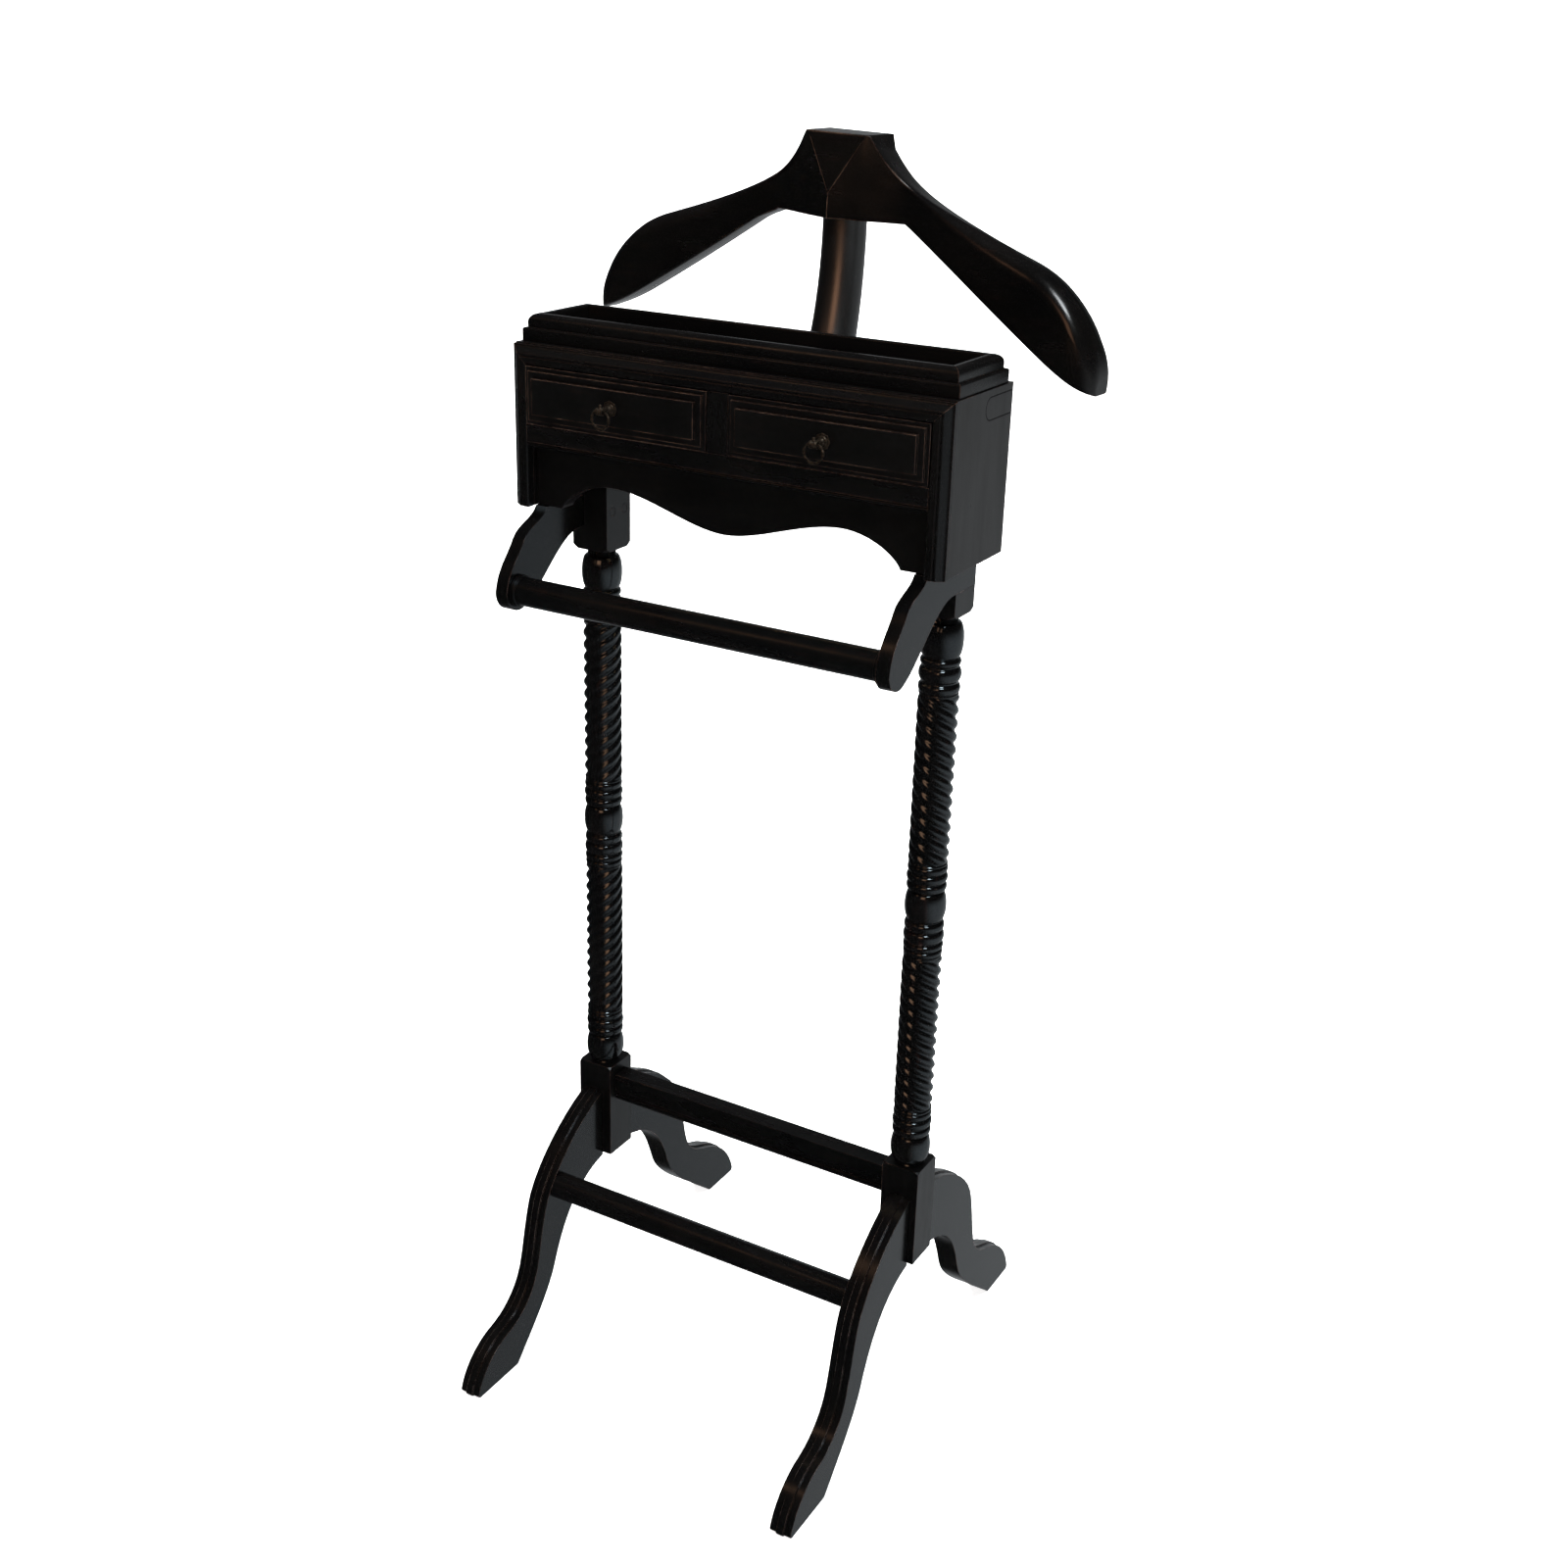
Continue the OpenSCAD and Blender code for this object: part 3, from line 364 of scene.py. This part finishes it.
def grid_mesh(name, rings, sharp=(), ridge=()):
    """A tube with closed ends through rings of equal length. sharp lists (ring, column) for crisp
    edges to the next ring, and ridge (ring, column) for crisp edges to the next column."""
    bm = bmesh.new()
    rows = [[bm.verts.new(p) for p in ring] for ring in rings]
    n = len(rings[0])
    for a, b in zip(rows, rows[1:]):
        for k in range(n):
            bm.faces.new((a[k], a[(k + 1) % n], b[(k + 1) % n], b[k]))
    bm.faces.new(list(reversed(rows[0])))
    bm.faces.new(rows[-1])
    bmesh.ops.recalc_face_normals(bm, faces=bm.faces)
    for f in bm.faces:
        f.smooth = len(f.verts) == 4
        if not f.smooth:
            for e in f.edges:
                e.smooth = False
    for i, k in sharp:
        bm.edges.get((rows[i][k], rows[i + 1][k])).smooth = False
    for i, k in ridge:
        bm.edges.get((rows[i][k], rows[i][k + 1])).smooth = False
    return mesh_from(bm, name)


def join_meshes(name, meshes):
    bm = bmesh.new()
    for m in meshes:
        bm.from_mesh(m)
        bpy.data.meshes.remove(m)
    return mesh_from(bm, name)


def mix(a, b, t):
    return a + (b - a) * t


def ease(t):
    u = min(1.0, max(0.0, t))
    return u * u * (3 - 2 * u)


# ---------- hanger and neck ----------

# Millimetres as in the CAD: x runs outwards from the middle, before the hanger is turned and tipped
HALF_W, TOP_Z, BASE_Z = 245.5, 1120.5, 1053.6
RIDGE_Y, BACK_Y, FACET_Z = 82.0, 130.5, 1073.7
TURN, SAG = radians(-3.4), radians(1.4)
NECK_Y, NECK_TOP, NECK_FOOT = 111.5, 1053.0, 870.0
NECK_TOP_D, NECK_FOOT_D = 37, 45.5

# Half widths of the level top, and where the wings, the level tip and the rounded ends begin
FLAT_FRONT, FLAT_BACK, WING_X, LEVEL_X, END_X = 27.7, 31, 61.5, 195, 180
# A wing's upper edge: its drop at an x, its slope there, that x, and a curve's rise and length
FRONT_EDGE, BACK_EDGE = (41.8, 0.359, 64, 36.1, 18.6), (53.4, 0.3075, 84, 29, 26)
END_DROP, WING_DROP, WING_RUN, WING_SAG, TIP_LIFT, UNDERSIDE_RISE = 60, 114.8, 180, 8, 6, 14.4
HOLLOW, HOLLOW_X, NOSE_L, NARROWING, FRONT_BOW = 21.5, 64, 26, 0.45, 0.3
# Other curves below are fits to the outlines in the photo, with their numbers in place.
# How much higher the left wing's front lower edge lies, over an underside that is flat
LEFT_UNDERSIDE = 5.5
# The section's column on the crease under the facet, and the steps across half of the facet
CREASE_COLUMN, FACET_STEPS = 8, 8


def edge_top(x, flat, edge):
    drop, slope, at_x, rise, length = edge
    if x < flat:
        return TOP_Z
    return min(TOP_Z, TOP_Z - drop - slope * (x - at_x) + rise * exp((flat - x) / length))


def end_fall(x):
    t = max(0.0, (x - END_X) / (HALF_W - END_X))
    return END_DROP * (1 - sqrt(max(0.0, 1 - t * t)))


def low_front(x):
    w = max(0.0, (x - WING_X) / WING_RUN)
    tip = max(0.0, x - 200) / 45
    return BASE_Z - WING_DROP * w - WING_SAG * w * max(0.0, 1 - w) + TIP_LIFT * tip ** 2


def low_back(x):
    tilt = (1 - exp(-max(0, x - 60) / 35)) * (1 - ease((x - LEVEL_X) / (HALF_W - LEVEL_X)))
    return low_front(x) + UNDERSIDE_RISE * tilt


def hollow_curve(x):
    return RIDGE_Y + HOLLOW * (0.55 * ease(x / HOLLOW_X) + 0.45 * x / HOLLOW_X)


def face_front(x):
    if x < FLAT_FRONT:
        return mix(RIDGE_Y, hollow_curve(FLAT_FRONT), x / FLAT_FRONT)
    if x < HOLLOW_X:
        return hollow_curve(x)
    return RIDGE_Y + HOLLOW - 13.7 * ease((x - HOLLOW_X) / 190) - 2 * (x - HOLLOW_X) / 176


def face_rear(x):
    return BACK_Y - 2 * ease((x - 34) / 26) - 3.2 * ease((x - 60) / 180)


FACET_SLOPE = (face_front(FLAT_FRONT) - RIDGE_Y) / (TOP_Z - FACET_Z)


def corner(prev, at, nxt, r1, r2, n):
    """A rounded corner: n + 1 points from r1 before the corner to r2 after it."""
    at, prev, nxt = Vector(at), Vector(prev), Vector(nxt)
    a = at + (prev - at).normalized() * r1
    b = at + (nxt - at).normalized() * r2
    out = []
    for i in range(n + 1):
        t = i / n
        s = 1 - t
        p, q = a.lerp(at, 0.55), b.lerp(at, 0.55)
        out.append(s ** 3 * a + 3 * s * s * t * p + 3 * s * t * t * q + t ** 3 * b)
    return out


def hanger_section(x, level=0.0):
    """(y, z) points round the section; level raises the front's lower edge over a flat underside."""
    lift = level * ease((x - 58) / 30)
    f, b, lo = face_front(x), face_rear(x), low_front(x) + lift
    lob = mix(low_back(x), lo, ease(level * lift))
    tf = max(lo + 9, edge_top(x, FLAT_FRONT, FRONT_EDGE) - end_fall(x))
    tb = max(lo + 9, edge_top(x, FLAT_BACK, BACK_EDGE) - end_fall(x))
    h = tf - lo
    r = min(1.2 + 15 * ease((x - 40) / 120), 0.42 * h)
    low_r = min(1 + 4 * x / HALF_W, 0.2 * h)
    top_y = max(f, RIDGE_Y + FACET_SLOPE * (TOP_Z - FACET_Z))
    crease = FACET_Z + (f - RIDGE_Y) / FACET_SLOPE
    bend = min(crease, mix(lo + low_r, tf - r, 0.985))
    fb, ft, bt, bb = (f, lo), (top_y, tf), (b, tb), (b - 1, lob)
    pts = corner(bb, fb, (f, bend), low_r, low_r, 4)
    pts += [Vector((f - FRONT_BOW * sin(pi * k), mix(lo + low_r, bend, k)))
            for k in (0.04, 0.33, 0.66, 1.0)]
    shoulder = corner((f, bend), ft, bt, r, r * 0.9, 7)
    pts += [pts[-1].lerp(shoulder[0], k) for k in (0.5, 0.96)] + shoulder
    pts += [Vector((mix(top_y + 0.9 * r, b - 0.9 * r, k), mix(tf, tb, k))) for k in (0.33, 0.66)]
    pts += corner(ft, bt, bb, r * 0.9, r, 7)
    pts += [Vector((b + 0.5, mix(lob, tb, 0.6))), Vector((b, mix(lob, tb, 0.3)))]
    pts += corner(bt, bb, fb, low_r, low_r, 4)
    e = max(0.0, (x - HALF_W + NOSE_L) / NOSE_L)
    nose = 1 - NARROWING * (1 - sqrt(max(0.0, 1 - e * e)))
    mid = mix(f, b, 0.95)
    return [(mix(mid, p[0], nose), p[1]) for p in pts]


def hanger_xs():
    xs = [FLAT_FRONT * i / FACET_STEPS for i in range(FACET_STEPS + 1)]
    xs += [mix(FLAT_FRONT, WING_X, i / 12) for i in range(1, 13)]
    xs += [mix(WING_X, END_X, i / 30) for i in range(1, 31)]
    xs += [END_X + (HALF_W - END_X) * sin(pi / 2 * i / 26) for i in range(1, 27)]
    return xs


def hanger():
    """Both wings in one mesh, from the left tip over the ridge in the middle to the right tip."""
    pivot = Vector((0, NECK_Y, NECK_TOP))
    turn = Matrix.Rotation(TURN, 3, "Z") @ Matrix.Rotation(SAG, 3, "Y")
    half = hanger_xs()
    middle = len(half) - 1
    rings = []
    for x in [-v for v in reversed(half[1:])] + half:
        ring = [Vector((x, y, z)) for y, z in hanger_section(abs(x), LEFT_UNDERSIDE if x < 0 else 0.0)]
        rings.append([(pivot + turn @ (p - pivot)) * MM for p in ring])
    sharp = [(middle + i, CREASE_COLUMN) for i in range(-FACET_STEPS, FACET_STEPS)]
    ridge = [(middle, k) for k in range(CREASE_COLUMN)]
    return grid_mesh("hanger_mesh", rings, sharp=sharp, ridge=ridge)


def neck():
    foot_r, top_r = NECK_FOOT_D / 2, NECK_TOP_D / 2
    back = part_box("case_back")[1].y / MM
    reach, rise = NECK_Y - back, NECK_TOP - NECK_FOOT
    rings = []
    for i in range(61):
        t = i / 60
        bend = t * pi / 2
        c = Vector((0, back + reach * sin(bend), NECK_TOP - rise * cos(bend)))
        d = Vector((0, reach * cos(bend), rise * sin(bend))).normalized()
        across, up = Vector((1, 0, 0)), Vector((0, -d.z, d.y))
        r = mix(foot_r, top_r, ease(t * 0.9 + 0.1))
        rings.append([(c + r * (cos(a) * across + sin(a) * up)) * MM for a in turns(64)])
    return grid_mesh("neck_mesh", rings)


piece("carved_hanger", hanger(), MATS["hanger"], "stand", "black_paint", "hanger_left", "hanger_right")
piece("bent_neck", neck(), MATS["neck"], "stand", "black_paint", "neck_post")


# ---------- posts ----------

FOOT_TOP, TOP_BLOCK = 260.0, 769.0
TWISTS = ((314.0, 465.0), (552.5, 702.5))
STRANDS, LEAD, TWIST_R, TWIST_DEPTH = 5, 58.0, 17.2, 2.3
TWIST_END_R, TWIST_FADE, TWIST_STEPS = 15.8, 2.5, 150


def swell(z0, z1, base, top, n):
    """(z, r) over a ball or bead, from its base radius out to its top radius and back."""
    angles = [pi * i / n for i in range(n + 1)]
    return [(mix(z0, z1, (1 - cos(a)) / 2), base + (top - base) * sin(a)) for a in angles]


def turning():
    """(z, r) up the post; each rope twist is a straight run between two of these points."""
    return (
        [(FOOT_TOP - 6, 13.5), (259.5, 13.5)]
        + swell(259.5, 286.5, 13.2, 17.8, 26) + swell(287.5, 294.5, 15.4, 17.2, 12)
        + swell(295.5, 304, 15, 17.6, 14) + swell(305, 311, 15.4, 17, 12)
        + [(312, 16.6), (314, 16.6), (465, 16.6), (466, 16.6)]
        + swell(466.5, 471.5, 15.4, 17, 12) + swell(472, 478, 15.2, 17.3, 12)
        + swell(479, 489, 15, 17.6, 14) + swell(490, 497.5, 15.4, 17.2, 12)
        + swell(498.5, 526, 13.8, 17.9, 26) + swell(527, 534, 15.2, 17.2, 12)
        + swell(535, 543, 15, 17.6, 14) + swell(544, 550.5, 15.4, 17.2, 12)
        + [(551, 16.6), (552.5, 16.6), (702.5, 16.6), (703.5, 16.6)]
        + swell(704, 711.5, 15.4, 17.4, 12) + swell(714, 725.5, 15, 17.6, 14)
        + swell(727.5, 733, 15, 16.9, 12) + swell(733.5, 763.5, 13.8, 17.9, 30)
        + [(764, 12.5), (TOP_BLOCK + 6, 12.5)]
    )


def rope_radius(angle, z, hand, z0, z1):
    """Rounded strands with hollows between them, fading into the plain turning at each end."""
    a = angle + hand * 2 * pi * (z - z0) / LEAD
    hollow = (0.5 - 0.5 * cos(a * STRANDS)) ** 1.5
    fade = min(1.0, (z - z0) / TWIST_FADE, (z1 - z) / TWIST_FADE)
    return mix(TWIST_END_R, TWIST_R - TWIST_DEPTH * hollow, ease(fade))


def turned(side):
    rings, angles = [], turns(100)
    profile = turning()
    for (z, r), (z2, _) in zip(profile, profile[1:] + [(None, None)]):
        rings.append([(r * cos(a), r * sin(a), z) for a in angles])
        if (z, z2) in TWISTS:
            for i in range(TWIST_STEPS + 1):
                zz = mix(z, z2, i / TWIST_STEPS)
                radii = [rope_radius(a, zz, side, z, z2) for a in angles]
                rings.append([(rr * cos(a), rr * sin(a), zz) for a, rr in zip(angles, radii)])
    return grid_mesh("turned_mesh", place(rings, side * POST_X, POST_Y, 0))


def block_part(node, z0, z1):
    """The part of a post's CAD mesh between two heights, closed at its cut ends."""
    bm = clean_copy(node)
    for z, normal in ((z0, (0, 0, -1)), (z1, (0, 0, 1))):
        geom = bm.verts[:] + bm.edges[:] + bm.faces[:]
        cut = bmesh.ops.bisect_plane(
            bm, geom=geom, plane_co=(0, 0, z * MM), plane_no=normal, clear_outer=True
        )
        loose = [e for e in cut["geom_cut"] if isinstance(e, bmesh.types.BMEdge)]
        bmesh.ops.holes_fill(bm, edges=loose)
    bmesh.ops.recalc_face_normals(bm, faces=bm.faces)
    return bm


for side, name in ((-1, "left"), (1, "right")):
    node = "post_" + name
    piece("turned_" + node, turned(side), MATS["turned"], "stand", "black_paint", node)
    for part, z0, z1 in (("foot", 150, FOOT_TOP - 2.5), ("head", TOP_BLOCK + 1.5, 900)):
        o = eased(node, 0.7, MATS["paint_z"], "stand", bm=block_part(node, z0, z1))
        o.name = f"{part}_block_{name}"

# Plugs over the screws that hold the brackets
PLUG_Y, PLUG_Z, BLOCK_HALF = (-14.5, 3.5), 805.5, 17.9
for side, name in ((-1, "left"), (1, "right")):
    plugs = []
    for y in PLUG_Y:
        face_x = POST_X - BLOCK_HALF
        plugs.append(grid_mesh("plug", [
            [(side * (face_x + d) * MM, (y + r * cos(a)) * MM, (PLUG_Z + r * sin(a)) * MM)
             for a in turns(32)]
            for d, r in ((4.0, 3.9), (1.0, 3.95), (0.25, 3.9), (0.05, 3.6))
        ]))
    mesh = join_meshes("plugs_mesh", plugs)
    piece("screw_plugs_" + name, mesh, MATS["paint_z"], "stand", "black_paint")


# ---------- flat work: the CAD shapes with eased edges ----------

# The radius of each node's edges, in millimetres, and its material
STAND_EASED = {
    "case_side_left": (0.9, "panel"), "case_side_right": (0.9, "panel"),
    "case_back": (0.6, "paint_x"), "case_top": (0.4, "paint_x"),
    "rim_front": (0.35, "moulding_x"), "rim_back": (0.35, "moulding_x"),
    "rim_left": (0.35, "moulding_y"), "rim_right": (0.35, "moulding_y"),
    "stile_left": (0.25, "moulding_z"), "stile_right": (0.25, "moulding_z"),
    "top_rail": (0.25, "moulding_x"), "drawer_rail": (0.4, "moulding_x"),
    "drawer_divider": (0.4, "moulding_z"), "apron": (0.8, "paint_x"),
    "bracket_left": (1.0, "leg"), "bracket_right": (1.0, "leg"),
    "trouser_bar": (0.8, "bar"), "shoe_bar": (0.6, "bar"), "stretcher": (0.8, "bar"),
    "leg_front_left": (0.9, "leg"), "leg_front_right": (0.9, "leg"),
    "leg_rear_left": (0.9, "leg"), "leg_rear_right": (0.9, "leg"),
}
for node, (width, mat) in STAND_EASED.items():
    eased(node, width, MATS[mat], "stand")
for side in ("left", "right"):
    eased(f"drawer_{side}_front", 0.45, MATS["drawer"], "drawer_" + side)

BARE = {
    "dust_panel": "bare_x", "drawer_partition": "bare_y",
    "drawer_stops": "bare_x", "neck_cleat": "bare_x",
}
for side in ("left", "right"):
    BARE[f"drawer_{side}_side_outer"] = BARE[f"drawer_{side}_side_inner"] = "bare_y"
    BARE[f"drawer_{side}_back"] = BARE[f"drawer_{side}_bottom"] = "bare_x"
for node, mat in BARE.items():
    in_drawer = node.startswith(("drawer_left", "drawer_right"))
    body = "drawer_" + node.split("_")[1] if in_drawer else "stand"
    eased(node, 0.4, MATS[mat], body, "bare_wood")


# ---------- drop pulls ----------

RING_R, PIN_R = 8, 0.9
RING_START, RING_SWEEP, RING_STEPS = radians(40), radians(280), 96


def lathe(profile, n=48):
    """Rings about the -Y axis from (distance out, radius) pairs."""
    return [[(r * cos(a), -d, r * sin(a)) for a in turns(n)] for d, r in profile]


def swept_ring(path, radii, n=14):
    """A round wire of changing thickness along a path in the XZ plane."""
    rings = []
    for i, p in enumerate(path):
        a, b = path[max(0, i - 1)], path[min(len(path) - 1, i + 1)]
        d = (Vector(b) - Vector(a)).normalized()
        across, out = Vector((0, 1, 0)), Vector((-d.z, 0, d.x))
        rings.append([Vector(p) + radii[i] * (cos(t) * out + sin(t) * across) for t in turns(n)])
    return rings


def rosette(n=96, lobes=8):
    """The back plate: a stepped disc with a petalled edge."""
    rings = []
    profile = [(0, 6.3, 0.25), (0.5, 6.5, 0.25), (0.95, 6.2, 0.22), (1.15, 5.6, 0.12), (0.9, 5.0, 0.0),
               (1.0, 4.5, 0.0), (1.9, 4.2, 0.0), (2.2, 3.6, 0.0), (2.2, 2.2, 0.0)]
    for d, r, petal in profile:
        radii = [(a, r + petal * cos(lobes * a)) for a in turns(n)]
        rings.append([(rr * cos(a), -d, rr * sin(a)) for a, rr in radii])
    return rings


def barrel(n=40):
    """The ribbed knuckle that holds the ring's pin."""
    rings = []
    for i in range(45):
        x = mix(-3.4, 3.4, i / 44)
        end = sqrt(max(0.0, 1 - (abs(x) / 3.6) ** 6))
        r = (2.95 + 0.4 * abs(cos(pi * x / 1.7))) * mix(0.7, 1.0, end)
        rings.append([(x, r * cos(a), r * sin(a)) for a in turns(n)])
    return rings


def finial(n=20):
    """A small bud on top of the knuckle."""
    profile = [(2.2, 1.7), (3.0, 1.9), (3.6, 1.5), (4.0, 1.2), (4.6, 1.5), (5.2, 1.3), (5.7, 0.5)]
    return [[(r * cos(a), r * sin(a), z) for a in turns(n)] for z, r in profile]


for side in ("left", "right"):
    lo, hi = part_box(f"pull_{side}_plate")
    cx, cz, face = (lo.x + hi.x) / 2 / MM, (lo.z + hi.z) / 2 / MM, hi.y / MM
    ring_lo, ring_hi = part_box(f"pull_{side}_ring")
    eye_y = (ring_lo.y + ring_hi.y) / 2 / MM
    body = "drawer_" + side
    piece("rosette_" + side, grid_mesh("r", place(rosette(), cx, face, cz)), MATS["brass"], body,
          "antique_brass", f"pull_{side}_plate")
    reach = face - eye_y
    stem = grid_mesh("stem", place(lathe([
        (0.0, 2.6), (1.6, 2.7), (2.4, 3.3), (3.0, 3.4), (3.4, 2.7), (4.2, 2.2), (5.5, 1.9),
        (reach - 5.6, 2.1), (reach - 4.9, 2.7), (reach - 4.3, 2.9), (reach - 3.7, 2.6),
        (reach - 3.2, 2.2), (reach - 1.0, 2.2),
    ]), cx, face, cz))
    knuckle = grid_mesh("knuckle", place(barrel(), cx, eye_y, cz))
    leaf = grid_mesh("leaf", place(finial(), cx, eye_y, cz))
    piece("knuckle_" + side, join_meshes("post_mesh", [stem, knuckle, leaf]), MATS["brass"], body,
          "antique_brass", f"pull_{side}_post")
    eased(f"pull_{side}_nut", 0.3, MATS["brass"], body, "antique_brass")
    # The ring: a pear-shaped loop, thicker at its foot
    path, radii = [], []
    for i in range(RING_STEPS + 1):
        a = RING_START + RING_SWEEP * i / RING_STEPS
        foot = max(0.0, -cos(a)) ** 3
        shoulder = exp(-((abs(sin(a)) - 0.985) / 0.03) ** 2) * (0.6 if cos(a) > -0.2 else 0.0)
        path.append((RING_R * sin(a), 0.0, RING_R * cos(a) - RING_R * cos(RING_START)))
        radii.append(0.85 + 0.45 * foot + shoulder)
    loop = grid_mesh("loop", place(swept_ring(path, radii), cx, eye_y, cz))
    pin = grid_mesh("pin", place([
        [(x, PIN_R * cos(t), PIN_R * sin(t)) for t in turns(16)]
        for x in (-5.2, -4, -2, 0, 2, 4, 5.2)
    ], cx, eye_y, cz))
    piece("drop_ring_" + side, join_meshes("ring_mesh", [loop, pin]), MATS["brass"], "pull_" + side,
          "antique_brass", f"pull_{side}_ring")

# The CAD's own meshes for the pieces inside
for name, o in NODES.items():
    if o.hide_render:
        continue
    steel_node = name in ("neck_bolts", "case_screws", "bracket_screws")
    mat = MATS["steel"] if steel_node else MATS["bare_x"]
    for slot in o.material_slots:
        slot.material = mat


# ---------- floor, light and camera ----------

def floor():
    """A pale sweep that curves up a long way behind the stand."""
    yaw, front, bend_at, bend_r, top, half_width = 0.5144, -6.0, 3.0, 2.5, 7.0, 9
    back = Vector((-sin(yaw), cos(yaw), 0))
    side = Vector((cos(yaw), sin(yaw), 0))
    profile = [(front, 0.0), (bend_at, 0.0)]
    profile += [(bend_at + bend_r * sin(radians(a)), bend_r - bend_r * cos(radians(a)))
                for a in range(6, 91, 6)]
    profile += [(bend_at + bend_r, top)]
    bm = bmesh.new()
    rows = []
    for d, z in profile:
        p = back * d + Vector((0, 0, z))
        rows.append([bm.verts.new(p - side * half_width), bm.verts.new(p + side * half_width)])
    for a, b in zip(rows, rows[1:]):
        bm.faces.new((a[0], a[1], b[1], b[0])).smooth = True
    o = add_object("floor", mesh_from(bm, "floor_mesh"))
    t = Tree("floor_paper")
    colour = t.mix(t.noise(t.coord, 3.0), (0.93, 0.93, 0.93), (0.95, 0.95, 0.95))
    t.put(t.shader.inputs["Base Color"], colour)
    t.shader.inputs["Roughness"].default_value = 0.95
    t.shader.inputs["Specular IOR Level"].default_value = 0.1
    t.shader.inputs["Emission Color"].default_value = (1, 1, 1, 1)
    t.shader.inputs["Emission Strength"].default_value = 0.9
    o.data.materials.append(t.mat)
    o.visible_glossy = False
    backdrop(t.mat)


def backdrop(mat, radius=5.8, height=9.0, n=72):
    """A pale wall all round that only the camera sees, so it neither lights nor shades the stand."""
    bm = bmesh.new()
    rows = [[bm.verts.new((radius * cos(a), radius * sin(a), z)) for a in turns(n)]
            for z in (0.0, height)]
    for k in range(n):
        bm.faces.new((rows[0][k], rows[0][(k + 1) % n], rows[1][(k + 1) % n], rows[1][k])).smooth = True
    o = add_object("backdrop", mesh_from(bm, "backdrop_mesh"))
    o.data.materials.append(mat)
    o.visible_diffuse = o.visible_glossy = o.visible_shadow = False


def area(name, where, at, size, watts, colour=(1, 1, 1), size_y=None):
    light = bpy.data.lights.new(name, "AREA")
    light.shape = "RECTANGLE"
    light.size, light.size_y = size, size_y or size
    light.energy = watts
    light.color = colour
    o = add_object(name, light)
    o.location = where
    o.rotation_euler = (Vector(at) - Vector(where)).to_track_quat("-Z", "Y").to_euler()
    return o


floor()
for light in (
    area("floor_light", (0.2, 0.2, 4.2), (0, 0, 0), 4.0, 240),
    area("sweep_light", (-2.2, 1.6, 5.0), (-2.6, 5.0, 0.6), 4.0, 420),
):
    light.visible_glossy = False
area("overhead_softbox", (1.15, -0.95, 2.9), (0, 0, 0.9), 0.6, 26, (0.92, 0.97, 1.0))
area("warm_front", (0.50, -2.30, 1.75), (0, 0.05, 1.0), 1.0, 6.5, (1.0, 0.52, 0.30), 1.1)
area("warm_left", (-1.0, -1.45, 2.25), (0.1, 0.07, 1.0), 0.3, 1.2, (1.0, 0.50, 0.28))


DIM, LOW_RIGHT_GLOW, BEHIND_GLOW = 0.015, 0.41, 0.40


def sky():
    """Dim all round, but pale low down to the right and behind, as a lit floor would be."""
    world = bpy.data.worlds.new("studio")
    bpy.context.scene.world = world
    world.use_nodes = True
    nodes, links = world.node_tree.nodes, world.node_tree.links

    def node(kind, op, *inputs):
        n = nodes.new(kind)
        n.operation = op
        for socket, value in zip(n.inputs, inputs):
            if isinstance(value, bpy.types.NodeSocket):
                links.new(value, socket)
            else:
                socket.default_value = value
        return n.outputs["Value"]

    def rise(value, start, end):
        n = nodes.new("ShaderNodeMapRange")
        n.interpolation_type = "SMOOTHSTEP"
        links.new(value, n.inputs[0])
        n.inputs[1].default_value, n.inputs[2].default_value = start, end
        return n.outputs[0]

    way = nodes.new("ShaderNodeTexCoord").outputs["Generated"]
    to_right = rise(node("ShaderNodeVectorMath", "DOT_PRODUCT", way, (0.97, 0.25, 0.0)), 0.0, 0.9)
    downward = rise(node("ShaderNodeVectorMath", "DOT_PRODUCT", way, (0.0, 0.0, -1.0)), -0.15, 0.32)
    behind = rise(node("ShaderNodeVectorMath", "DOT_PRODUCT", way, (-0.33, 0.86, -0.38)), 0.55, 1.0)
    low_right = node("ShaderNodeMath", "MULTIPLY", to_right, downward)
    total = node("ShaderNodeMath", "MULTIPLY_ADD", low_right, LOW_RIGHT_GLOW, DIM)
    total = node("ShaderNodeMath", "MULTIPLY_ADD", behind, BEHIND_GLOW, total)
    background = nodes["Background"]
    background.inputs["Color"].default_value = (0.93, 0.97, 1.0, 1)
    links.new(total, background.inputs["Strength"])


sky()

bpy.context.scene.view_settings.view_transform = "Standard"

YAW, PITCH, ROLL = 0.5143694, -0.3899261, 0.0310543
CAMERA_AT, LENS, SENSOR = (0.787635, -1.355686, 1.226229), 44.378, 36
forward = Vector((-sin(YAW) * cos(PITCH), cos(YAW) * cos(PITCH), sin(PITCH)))
level = Vector((cos(YAW), sin(YAW), 0))
upright = level.cross(forward)
right = cos(ROLL) * level + sin(ROLL) * upright
up = -sin(ROLL) * level + cos(ROLL) * upright
camera = add_object("camera", bpy.data.cameras.new("camera"))
camera.data.sensor_width = SENSOR
camera.data.lens = LENS
basis = Matrix((right, up, -forward)).transposed().to_4x4()
camera.matrix_world = Matrix.Translation(CAMERA_AT) @ basis
bpy.context.scene.camera = camera
